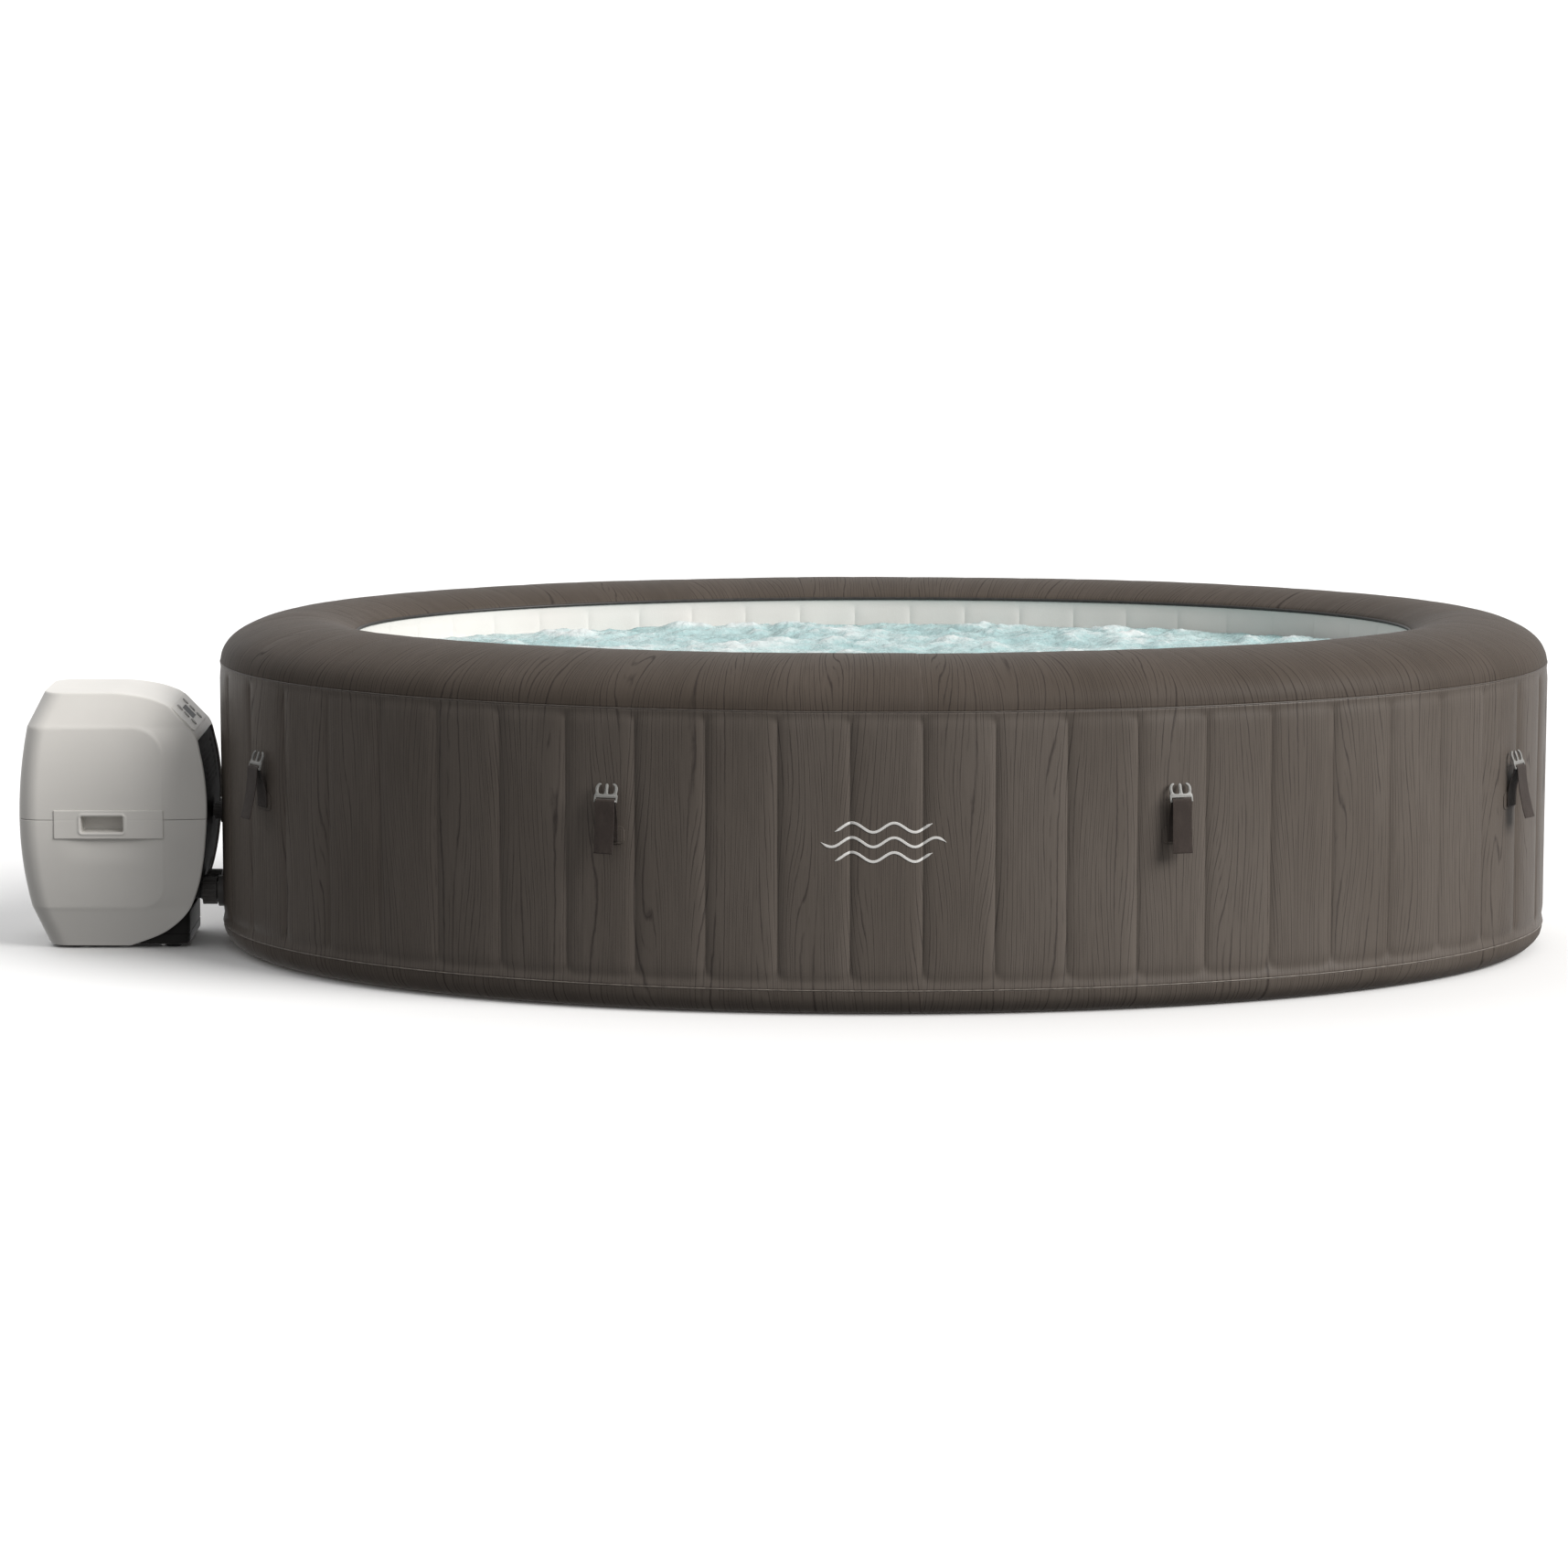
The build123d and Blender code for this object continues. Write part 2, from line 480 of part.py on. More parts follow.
# ---------------------------------------------------------------- inside the pump unit
feet = [Pos(x, y, 3.0) * Cylinder(15, 6.0) for x, y in ((-1648, -80), (-1648, 80), (-1446, -86), (-1446, 86))]
screws = []
for x in (-1622.0, -1544.0, -1466.0):
    for y in (-98.0, 98.0):
        base_tray = base_tray - Pos(x, y, 8) * Cylinder(2.3, 12)
        screws.append(Pos(x, y, 4.4) * Cylinder(4.2, 2.8) + Pos(x, y, 10) * Cylinder(2.0, 12))

PY = -WATER_Y
volute = rod((-1588, PY, WATER_Z), (-1538, PY, WATER_Z), 48) - rod((-1583, PY, WATER_Z), (-1543, PY, WATER_Z), 43)
volute = volute - rod((-1560, PY, WATER_Z), (-1530, PY, WATER_Z), 13)
motor = rod((-1680, PY, WATER_Z), (-1588, PY, WATER_Z), 36)
for k in range(16):
    q = 2 * math.pi * k / 16
    motor = motor - rod((-1676, PY + 38 * math.cos(q), WATER_Z + 38 * math.sin(q)),
                        (-1596, PY + 38 * math.cos(q), WATER_Z + 38 * math.sin(q)), 4.0)
stub = rod((-1563, PY, WATER_Z + 44), (-1563, PY, 160), 16) - rod((-1563, PY, WATER_Z + 40), (-1563, PY, 165), 13)
circ = volute + motor
circ = circ - rod((-1563, PY, WATER_Z + 38), (-1563, PY, 170), 13) + stub
circ = circ - rod((-1650, PY, WATER_Z), (-1580, PY, WATER_Z), 5.05)
circulation_pump_body = circ

imp = rod((-1648, PY, WATER_Z), (-1556, PY, WATER_Z), 5.0) + rod((-1580, PY, WATER_Z), (-1577, PY, WATER_Z), 38)
for k in range(7):
    imp = imp + Plane(origin=(-1567, PY, WATER_Z), x_dir=(1, 0, 0), z_dir=(0, 0, 1)) \
        * Rot(360.0 / 7 * k, 0, 0) * Pos(0, 22, 0) * Rot(0, 0, 0) * Box(20.5, 28, 2.2)
pump_impeller = imp

heater = rod((-1563, -95, 215), (-1563, 95, 215), 26) - rod((-1563, -92, 215), (-1563, 92, 215), 23)
heater = heater + rod((-1563, -99, 215), (-1563, -95, 215), 31) + rod((-1563, 95, 215), (-1563, 99, 215), 31)
heater = heater + rod((-1563, -97, 215), (-1563, 97, 215), 5)
for y in (-WATER_Y, WATER_Y):
    heater = heater - rod((-1563, y, 180), (-1563, y, 205), 13)
heater_tube = heater

BX, BZ = -1590.0, 390.0
blower = rod((BX, -38, BZ), (BX, 38, BZ), 80) + box(BX - 10, BX + 115, -22, 22, BZ - 80, BZ - 50)
blower = blower - rod((BX, -34, BZ), (BX, 34, BZ), 75) - box(BX, BX + 120, -19, 19, BZ - 77, BZ - 53)
blower = blower + rod((BX, 38, BZ), (BX, 78, BZ), 36)
blower = blower - rod((BX, -45, BZ), (BX, -30, BZ), 30)
blower = blower - rod((BX, 20, BZ), (BX, 70, BZ), 5.05)
blower_housing = blower

fan = rod((BX, -30, BZ), (BX, 68, BZ), 5.0) + rod((BX, 28, BZ), (BX, 31, BZ), 70) \
    + rod((BX, -30, BZ), (BX, -24, BZ), 12) + rod((BX, -30, BZ), (BX, 30, BZ), 11)
for k in range(18):
    fan = fan + Plane(origin=(BX, 0, BZ), x_dir=(1, 0, 0), z_dir=(0, 1, 0)) \
        * Rot(0, 0, 20 * k) * Pos(58, 0, 0) * Rot(0, 0, 30) * Box(22, 2.0, 57)
blower_fan = fan

board = box(-1660, -1505, -62, 62, 484, 485.6)
for (x0, x1, y0, y1, h) in ((-1650, -1615, -50, -20, 18), (-1650, -1618, 15, 50, 14), (-1600, -1575, -45, -25, 10),
                            (-1600, -1560, 0, 30, 6), (-1545, -1515, -50, 50, 9)):
    board = board + box(x0, x1, y0, y1, 485.6, 485.6 + h)
control_board = board

hose_a = rod((-1537.5, -WATER_Y, WATER_Z), (-1393, -WATER_Y, WATER_Z), 16) \
    - rod((-1540, -WATER_Y, WATER_Z), (-1380, -WATER_Y, WATER_Z), 13)
hose_b = rod((-1563, -WATER_Y, 160.3), (-1563, -WATER_Y, 187.5), 16) - rod((-1563, -WATER_Y, 155), (-1563, -WATER_Y, 200), 13)
pc = [(-1563, WATER_Y, 187.5), (-1563, WATER_Y, WATER_Z), (-1393, WATER_Y, WATER_Z)]
hose_c = pipe_run(pc, 16) - pipe_run([(-1563, WATER_Y, 200), pc[1], (-1380, WATER_Y, WATER_Z)], 13)
pdn = [(BX + 115.5, 0, BZ - 65), (BX + 160, 0, BZ - 65), (BX + 160, 0, AIR_Z), (-1377.5, 0, AIR_Z)]
hose_d = pipe_run(pdn, 12) - pipe_run([(BX + 110, 0, BZ - 65)] + pdn[1:-1] + [(-1370, 0, AIR_Z)], 9)


# ---------------------------------------------------------------- coupling nuts and cable gland
def nut(x0, x1, y, z, r_in, r_out, lobes):
    n = rod((x0, y, z), (x1, y, z), r_out) - rod((x0 - 2, y, z), (x1 + 2, y, z), r_in)
    for k in range(lobes):
        q = 2 * math.pi * k / lobes
        n = n - rod((x0 - 1, y + (r_out + 1.2) * math.cos(q), z + (r_out + 1.2) * math.sin(q)),
                    (x1 + 1, y + (r_out + 1.2) * math.cos(q), z + (r_out + 1.2) * math.sin(q)), 2.6)
    return n


coupling_nut_inlet = nut(-1388, -1360, -WATER_Y, WATER_Z, WATER_R + 0.35, 28.0, 18)
coupling_nut_outlet = nut(-1388, -1360, WATER_Y, WATER_Z, WATER_R + 0.35, 28.0, 18)
coupling_nut_air = nut(-1366.5, -1355.5, 0, AIR_Z, AIR_R + 0.35, 18.5, 14)

GLY, GLZ = 60.0, 62.0
gland_x = PUMP_X0 + 30
cable_gland = (rod((gland_x - 26, GLY, GLZ), (gland_x + 14, GLY, GLZ), 8) + rod((gland_x - 12, GLY, GLZ), (gland_x - 3, GLY, GLZ), 13)
               - rod((gland_x - 30, GLY, GLZ), (gland_x + 20, GLY, GLZ), 4.5))
lower_casing = lower_casing - rod((gland_x - 60, GLY, GLZ), (gland_x + 60, GLY, GLZ), 8.5)
lower_casing = lower_casing - rod((gland_x - 40, GLY, GLZ), (gland_x - 2.5, GLY, GLZ), 14)

# ---------------------------------------------------------------- every node
put("outer_wall", outer_wall)
put("inner_wall", inner_wall)
put("top_rim", top_rim)
put("base_skirt", base_skirt)
put("tub_floor", tub_floor)
put("air_ring", air_ring)
put("wall_beams", Compound(children=webs))
put("air_valve_body", air_valve_body)
put("air_valve_cap", air_valve_cap)
put("drain_valve_body", drain_valve_body)
put("drain_valve_cap", drain_valve_cap)
put("inlet_wall_fitting", inlet_wall_fitting)
put("outlet_wall_fitting", outlet_wall_fitting)
put("air_wall_fitting", air_wall_fitting)
put("filter_cartridge", filter_cartridge)
put("filter_cover", filter_cover)
put("outlet_grate", outlet_grate)
put("strap_anchors", Compound(children=anchors))
put("upper_casing", upper_casing)
put("lower_casing", lower_casing)
put("port_panel", port_panel)
put("base_tray", base_tray)
put("rubber_feet", Compound(children=feet))
put("handle_grips", Compound(children=[grip, grip_b]))
put("control_panel", control_panel)
put("display_window", display_window)
put("circulation_pump_body", circulation_pump_body)
put("pump_impeller", pump_impeller)
put("heater_tube", heater_tube)
put("blower_housing", blower_housing)
put("blower_fan", blower_fan)
put("control_board", control_board)
put("internal_hoses", Compound(children=[hose_a, hose_b, hose_c, hose_d]))
put("coupling_nut_inlet", coupling_nut_inlet)
put("coupling_nut_outlet", coupling_nut_outlet)
put("coupling_nut_air", coupling_nut_air)
put("cable_gland", cable_gland)
put("casing_screws", Compound(children=screws))

for name, shape in nodes.items():
    export_step(shape, "parts/%s.step" % name)
print(len(nodes), "nodes")
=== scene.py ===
import bpy, bmesh, math
import numpy as np
from mathutils import Matrix, Vector


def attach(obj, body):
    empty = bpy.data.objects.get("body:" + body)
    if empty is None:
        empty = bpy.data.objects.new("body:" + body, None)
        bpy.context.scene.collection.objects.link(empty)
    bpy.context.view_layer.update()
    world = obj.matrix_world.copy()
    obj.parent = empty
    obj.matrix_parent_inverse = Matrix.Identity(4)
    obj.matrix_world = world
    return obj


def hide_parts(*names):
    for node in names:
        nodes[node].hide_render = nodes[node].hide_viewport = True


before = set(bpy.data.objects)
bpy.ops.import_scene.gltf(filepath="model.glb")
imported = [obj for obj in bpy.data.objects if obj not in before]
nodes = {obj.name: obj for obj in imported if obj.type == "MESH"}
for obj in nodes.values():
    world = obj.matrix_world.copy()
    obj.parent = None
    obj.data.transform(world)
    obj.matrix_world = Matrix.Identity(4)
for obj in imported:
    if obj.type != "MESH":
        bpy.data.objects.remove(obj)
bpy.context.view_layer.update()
scene = bpy.context.scene
COLL = scene.collection
rng = np.random.default_rng(7)

# ================================================================ small tools
def smooth(x, a, b):
    t = np.clip((x - a) / (b - a), 0.0, 1.0)
    return t * t * (3 - 2 * t)


_perm = np.random.default_rng(11).permutation(512)


def _hash(ix, iy):
    return _perm[(_perm[ix & 511] + iy) & 511]


def noise2(x, y):
    """Smooth gradient noise, about -0.7 to 0.7, same on every run."""
    x, y = np.broadcast_arrays(np.asarray(x, float), np.asarray(y, float))
    ix, iy = np.floor(x).astype(int), np.floor(y).astype(int)
    fx, fy = x - ix, y - iy
    ux, uy = fx * fx * fx * (fx * (fx * 6 - 15) + 10), fy * fy * fy * (fy * (fy * 6 - 15) + 10)

    def corner(dx, dy):
        a = _hash(ix + dx, iy + dy) * (2 * math.pi / 512.0)
        return np.cos(a) * (fx - dx) + np.sin(a) * (fy - dy)
    n0 = corner(0, 0) * (1 - ux) + corner(1, 0) * ux
    n1 = corner(0, 1) * (1 - ux) + corner(1, 1) * ux
    return n0 * (1 - uy) + n1 * uy


def link(obj):
    COLL.objects.link(obj)
    return obj


def new_mesh(name, verts, faces, uvs=None, uv_name="grain", smooth_shade=True):
    me = bpy.data.meshes.new(name)
    me.from_pydata([tuple(v) for v in verts], [], [tuple(f) for f in faces])
    if uvs is not None:
        layer = me.uv_layers.new(name=uv_name)
        layer.data.foreach_set("uv", np.asarray(uvs, np.float32).ravel())
    me.polygons.foreach_set("use_smooth", [smooth_shade] * len(me.polygons))
    me.update()
    return link(bpy.data.objects.new(name, me))


def grid_piece(name, P, U, V, closed=True):
    """P is (nu, nv, 3): columns round the tub, rows along the profile. U (nu + 1) and V (nv) are
    the print's coordinates in metres. closed joins the last column to the first."""
    nu, nv = P.shape[:2]
    verts = P.reshape(-1, 3)
    i, j = np.meshgrid(np.arange(nu if closed else nu - 1), np.arange(nv - 1), indexing="ij")
    i, j = i.ravel(), j.ravel()
    k = (i + 1) % nu
    faces = np.stack([i * nv + j, k * nv + j, k * nv + j + 1, i * nv + j + 1], 1)
    V = np.broadcast_to(V, (nu, nv)) if np.ndim(V) == 1 else V
    V2 = np.vstack([V, V[:1]])
    u0, u1 = U[i], U[i + 1]
    uv = np.stack([np.stack([u0, V2[i, j]], 1), np.stack([u1, V2[i + 1, j]], 1),
                   np.stack([u1, V2[i + 1, j + 1]], 1), np.stack([u0, V2[i, j + 1]], 1)], 1)
    return new_mesh(name, verts, faces, uv.reshape(-1, 2))


def solidify(obj, t, offset=-1.0):
    m = obj.modifiers.new("thickness", "SOLIDIFY")
    m.thickness = t
    m.offset = offset
    m.use_even_offset = True
    m.use_quality_normals = True
    return obj


def bevel(obj, w, seg=2, angle=35):
    m = obj.modifiers.new("edge", "BEVEL")
    m.width = w
    m.segments = seg
    m.limit_method = "ANGLE"
    m.angle_limit = math.radians(angle)
    m.harden_normals = False
    return obj


def shade(obj, angle=40):
    obj.data.polygons.foreach_set("use_smooth", [True] * len(obj.data.polygons))
    obj.data.update()
    return obj


# ================================================================ camera, floor, light
cam_data = bpy.data.cameras.new("view")
cam = link(bpy.data.objects.new("view", cam_data))
cam_data.sensor_width = 36.0
cam_data.lens = 36.0 * 5778.0 / 1715.0
cam_data.clip_end = 400.0
cam.location = (-0.255, -10.713, 1.817)
cam.rotation_euler = (math.radians(90 - 7.9), 0.0, math.radians(-0.28))
scene.camera = cam
scene.view_settings.view_transform = "Standard"


def node_mat(name):
    m = bpy.data.materials.new(name)
    m.use_nodes = True
    nt = m.node_tree
    nt.nodes.clear()
    out = nt.nodes.new("ShaderNodeOutputMaterial")
    b = nt.nodes.new("ShaderNodeBsdfPrincipled")
    nt.links.new(b.outputs[0], out.inputs[0])
    return m, nt, b


class G:
    """Short hand for building node trees."""

    def __init__(self, nt):
        self.nt = nt

    def n(self, kind, **kw):
        node = self.nt.nodes.new(kind)
        for k, v in kw.items():
            setattr(node, k, v)
        return node

    def put(self, socket, v):
        if isinstance(v, bpy.types.NodeSocket):
            self.nt.links.new(v, socket)
        else:
            socket.default_value = v

    def math(self, op, a, b=None, c=None, clamp=False):
        m = self.n("ShaderNodeMath", operation=op, use_clamp=clamp)
        for i, v in enumerate((a, b, c)):
            if v is not None:
                self.put(m.inputs[i], v)
        return m.outputs[0]

    def vec(self, x, y, z=0.0):
        c = self.n("ShaderNodeCombineXYZ")
        for i, v in enumerate((x, y, z)):
            self.put(c.inputs[i], v)
        return c.outputs[0]

    def noise(self, vec, scale=1.0, detail=2.0, rough=0.5, dims="3D", dist=0.0):
        t = self.n("ShaderNodeTexNoise", noise_dimensions=dims)
        self.put(t.inputs["Vector"], vec)
        t.inputs["Scale"].default_value = scale
        t.inputs["Detail"].default_value = detail
        t.inputs["Roughness"].default_value = rough
        t.inputs["Distortion"].default_value = dist
        return t.outputs[0]

    def ramp(self, f, stops, interp="LINEAR"):
        r = self.n("ShaderNodeValToRGB")
        r.color_ramp.interpolation = interp
        e = r.color_ramp.elements
        while len(e) < len(stops):
            e.new(0.5)
        for el, (p, c) in zip(e, stops):
            el.position = p
            el.color = (*c, 1.0) if len(c) == 3 else c
        self.put(r.inputs[0], f)
        return r.outputs[0]

    def mix(self, f, a, b, blend="MIX"):
        m = self.n("ShaderNodeMix", data_type="RGBA", blend_type=blend)
        self.put(m.inputs[0], f)
        self.put(m.inputs[6], a if isinstance(a, bpy.types.NodeSocket) else (*a, 1.0))
        self.put(m.inputs[7], b if isinstance(b, bpy.types.NodeSocket) else (*b, 1.0))
        return m.outputs[2]

    def step(self, f, a, b):
        """0 below a, 1 above b, smooth between."""
        m = self.n("ShaderNodeMapRange", interpolation_type="SMOOTHSTEP")
        self.put(m.inputs["Value"], f)
        m.inputs["From Min"].default_value = a
        m.inputs["From Max"].default_value = b
        return m.outputs[0]

    def bump(self, h, dist, strength=1.0, normal=None):
        b = self.n("ShaderNodeBump")
        b.inputs["Strength"].default_value = strength
        b.inputs["Distance"].default_value = dist
        self.put(b.inputs["Height"], h)
        if normal is not None:
            self.put(b.inputs["Normal"], normal)
        return b.outputs[0]


def srgb(r, g, b):
    f = lambda c: ((c / 255.0 + 0.055) / 1.055) ** 2.4 if c > 10.3 else c / 255.0 / 12.92
    return (f(r), f(g), f(b))


# floor
bpy.ops.mesh.primitive_plane_add(size=300, location=(0, 0, -0.0005))
floor = bpy.context.object
floor.name = "floor"
fm, fnt, fb = node_mat("floor_white")
fb.inputs["Base Color"].default_value = (0.97, 0.97, 0.97, 1)
fb.inputs["Roughness"].default_value = 0.9
fb.inputs["Specular IOR Level"].default_value = 0.0
floor.data.materials.append(fm)
floor.visible_diffuse = False
floor.visible_glossy = False

# sky: plain studio surround, brighter behind the tub and towards the key light
world = bpy.data.worlds.new("studio")
scene.world = world
world.use_nodes = True
wnt = world.node_tree
wnt.nodes.clear()
g = G(wnt)
wout = g.n("ShaderNodeOutputWorld")
bg = g.n("ShaderNodeBackground")
bg.inputs["Color"].default_value = (1, 1, 1, 1)
tc = g.n("ShaderNodeTexCoord")
sep = g.n("ShaderNodeSeparateXYZ")
wnt.links.new(tc.outputs["Generated"], sep.inputs[0])
front = g.step(sep.outputs[1], 0.30, 0.90)
side = g.step(sep.outputs[0], -0.9, 1.0)
up_ = g.step(sep.outputs[2], -0.05, 0.12)
top = g.step(sep.outputs[2], 0.2, 1.0)
val = g.math("ADD", 0.13, g.math("MULTIPLY", side, 0.24))
val = g.math("ADD", val, g.math("MULTIPLY", top, 0.10))
val = g.math("ADD", g.math("MULTIPLY", val, up_), 0.20)
val = g.math("MAXIMUM", val, g.math("MULTIPLY", front, 1.05))
wnt.links.new(val, bg.inputs["Strength"])
wnt.links.new(bg.outputs[0], wout.inputs[0])


def sun(name, azim, elev, energy, angle, color=(1, 1, 1)):
    """azim: compass of the light's place seen from the tub, degrees from +X towards +Y."""
    d = bpy.data.lights.new(name, "SUN")
    d.energy = energy
    d.angle = math.radians(angle)
    d.color = color
    o = link(bpy.data.objects.new(name, d))
    a, e = math.radians(azim), math.radians(elev)
    to = Vector((math.cos(a) * math.cos(e), math.sin(a) * math.cos(e), math.sin(e)))
    o.rotation_mode = "QUATERNION"
    o.rotation_quaternion = to.to_track_quat("Z", "Y")
    return o


sun("key", -28, 33, 3.3, 34, (1.0, 0.985, 0.965))
sun("fill", 150, 45, 0.50, 60, (0.97, 0.98, 1.0))

# ================================================================ tub geometry
A, B = 1.350, 0.900
Z_TOP, Z_BOT = 0.580, 0.050
CH = 0.275
NP = 52
T0 = math.radians(-87.7)

_tt = T0 + np.linspace(0, 2 * math.pi, 28801)
_ds = np.hypot(A * np.sin(_tt), B * np.cos(_tt))
_S = np.concatenate([[0], np.cumsum((_ds[1:] + _ds[:-1]) / 2 * np.diff(_tt))])
PERIM = _S[-1]
PITCH = PERIM / NP


def t_of(s):
    """Ellipse angle at arc length s (metres) from the first weld, any s."""
    k = np.floor(np.asarray(s, float) / PERIM)
    return np.interp(np.asarray(s, float) - k * PERIM, _S, _tt) + 2 * math.pi * k


def s_of(deg):
    t = math.radians(deg)
    while t < T0:
        t += 2 * math.pi
    while t >= T0 + 2 * math.pi:
        t -= 2 * math.pi
    return float(np.interp(t, _tt, _S))


def around(s, inset, z):
    """Point of the ellipse family (A - inset, B - inset) at the angle of arc length s."""
    t = t_of(s)
    return np.stack([(A - inset) * np.cos(t), (B - inset) * np.sin(t), np.broadcast_to(z, np.shape(t)) + 0 * t], -1)


def normal_at(s):
    t = t_of(s)
    nx, ny = B * np.cos(t), A * np.sin(t)
    l = np.hypot(nx, ny)
    return np.stack([nx / l, ny / l, 0 * t], -1)


def panel_cols(per):
    q = (1 - np.cos(np.pi * np.arange(per) / per)) / 2
    return ((np.arange(NP)[:, None] + q[None, :]) * PITCH).ravel()


def pillow(s, z, z0, z1, rc=0.024, soft=0.010):
    """0 on a weld, 1 in the middle of a panel; rounded-corner panels."""
    x = np.abs((s / PITCH - np.floor(s / PITCH)) - 0.5) * PITCH
    dx = x - (PITCH / 2 - rc)
    dz = np.abs(z - (z0 + z1) / 2) - ((z1 - z0) / 2 - rc)
    d = rc - np.hypot(np.maximum(dx, 0), np.maximum(dz, 0)) - np.minimum(np.maximum(dx, dz), 0)
    return np.where(d > 0, 1 - np.exp(-np.maximum(d, 0) / soft), 0.0)


def wall_offset(s, z):
    """How far the outer wall stands outside the plain ellipse."""
    w = smooth(z, Z_BOT, Z_BOT + 0.030) * (1 - smooth(z, Z_TOP - 0.024, Z_TOP))
    crease = 1 - pillow(s, z, Z_BOT + 0.016, Z_TOP - 0.006)
    o = 0.0012 * w - 0.0050 * crease * w
    o = o + 0.0009 * noise2(s * 3.1, z * 2.3) * w
    edge = np.exp(-(Z_TOP - z) / 0.030) * smooth(Z_TOP - z, 0.0, 0.010)
    o = o + 0.0011 * noise2(s * 46 + 9, z * 9) * edge
    edge = np.exp(-(z - Z_BOT) / 0.022) * smooth(z - Z_BOT, 0.0, 0.008)
    o = o + 0.0008 * noise2(s * 60 + 3, z * 9 + 40) * edge
    return o


def wall_point(s, z, out=0.0):
    s, z = np.broadcast_arrays(np.asarray(s, float), np.asarray(z, float))
    p = around(s, 0.0, 0.0)
    p[..., 2] = z
    return p + normal_at(s) * (wall_offset(s, z) + out)[..., None]


def rows(a, b, n):
    q = np.arange(n) / (n - 1)
    q = 0.55 * (1 - np.cos(np.pi * q)) / 2 + 0.45 * q
    return a + (b - a) * q


cols = panel_cols(18)
Ucols = np.append(cols, PERIM)

# ---- outer wall
zz = rows(Z_BOT, Z_TOP, 60)
P = wall_point(cols[:, None], zz[None, :])
wall_obj = grid_piece("outer_wall_sheet", P, Ucols, zz - Z_BOT)
solidify(wall_obj, 0.0022)
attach(wall_obj, "spa"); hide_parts("outer_wall")

# ---- rim
rp = np.array([(0, .580), (.0035, .597), (.010, .611), (.020, .6235), (.034, .635), (.052, .6452), (.074, .6545),
               (.100, .6622), (.130, .6678), (.160, .6705), (.180, .6706), (.205, .6678), (.228, .6625),
               (.247, .6560), (.262, .6492), (.271, .6440), (.2755, .6395), (.2765, .6355)])
seg = np.hypot(*np.diff(rp, axis=0).T)
ra = np.concatenate([[0], np.cumsum(seg)])


def cubic(x, xp, fp):
    """Smooth interpolation through points (Catmull-Rom on a non-uniform grid)."""
    m = np.gradient(fp, xp)
    i = np.clip(np.searchsorted(xp, x) - 1, 0, len(xp) - 2)
    h = xp[i + 1] - xp[i]
    t = (x - xp[i]) / h
    return ((2 * t ** 3 - 3 * t ** 2 + 1) * fp[i] + (t ** 3 - 2 * t ** 2 + t) * h * m[i]
            + (-2 * t ** 3 + 3 * t ** 2) * fp[i + 1] + (t ** 3 - t ** 2) * h * m[i + 1])


rv = np.concatenate([np.linspace(0, ra[-1] * 0.18, 12, endpoint=False), np.linspace(ra[-1] * 0.18, ra[-1] * 0.9, 26, endpoint=False),
                     np.linspace(ra[-1] * 0.9, ra[-1], 12)])
rs, rz = cubic(rv, ra, rp[:, 0]), cubic(rv, ra, rp[:, 1])
tan = np.stack([np.gradient(rs, rv), np.gradient(rz, rv)], 1)
tan /= np.linalg.norm(tan, axis=1)[:, None]
rn_in, rn_up = -tan[:, 1], tan[:, 0]      # outward normal of the profile: (inset, height)
edge_w = smooth(rv, 0.0, 0.02) * (1 - smooth(rv, ra[-1] - 0.012, ra[-1]))
puck = (np.exp(-rv / 0.035) * 0.0010 * edge_w)[None, :] * noise2(cols[:, None] * 38 + 5, rv[None, :] * 12)
puck = puck + (np.exp(-(ra[-1] - rv) / 0.030) * 0.0012 * edge_w)[None, :] * noise2(cols[:, None] * 34 + 70, rv[None, :] * 10)
wob = 0.0016 * edge_w[None, :] * noise2(cols[:, None] * 2.4 + 20, rv[None, :] * 3.0)
beam = 0.0014 * (edge_w * smooth(rv, 0.03, 0.10) * (1 - smooth(rv, ra[-1] - 0.08, ra[-1] - 0.02)))[None, :] \
    * -(1 - np.abs(np.sin(np.pi * cols / PITCH)) ** 0.35)[:, None]
hgt = puck + wob + beam * 0.5
ins = rs[None, :] + rn_in[None, :] * hgt
P = around(np.broadcast_to(cols[:, None], ins.shape), ins, 0.0)
P[..., 2] = rz[None, :] + rn_up[None, :] * hgt
rim_obj = grid_piece("top_rim_sheet", P, Ucols, rv + (Z_TOP - Z_BOT))
solidify(rim_obj, 0.0022)
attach(rim_obj, "spa"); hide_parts("top_rim")

# ---- skirt under the bottom seam
sp = np.array([(0, .050), (.0012, .040), (.004, .030), (.009, .0215), (.0165, .0135), (.026, .0065), (.036, .0022),
               (.046, .0004), (.0595, .0004)])
sa = np.concatenate([[0], np.cumsum(np.hypot(*np.diff(sp, axis=0).T))])
sv = np.linspace(0, sa[-1], 22)
ss, sz = cubic(sv, sa, sp[:, 0]), np.maximum(cubic(sv, sa, sp[:, 1]), 0.0003)
sw = smooth(sv, 0.0, 0.012) * (1 - smooth(sv, sa[-1] * 0.45, sa[-1] * 0.7))
sh = 0.0012 * sw[None, :] * noise2(cols[:, None] * 30 + 33, sv[None, :] * 20)
P = around(np.broadcast_to(cols[:, None], sh.shape), ss[None, :] - sh, 0.0)
P[..., 2] = sz[None, :]
skirt_obj = grid_piece("base_skirt_sheet", P[:, ::-1], Ucols, -sv[::-1])
solidify(skirt_obj, 0.0022)
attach(skirt_obj, "spa"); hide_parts("base_skirt")


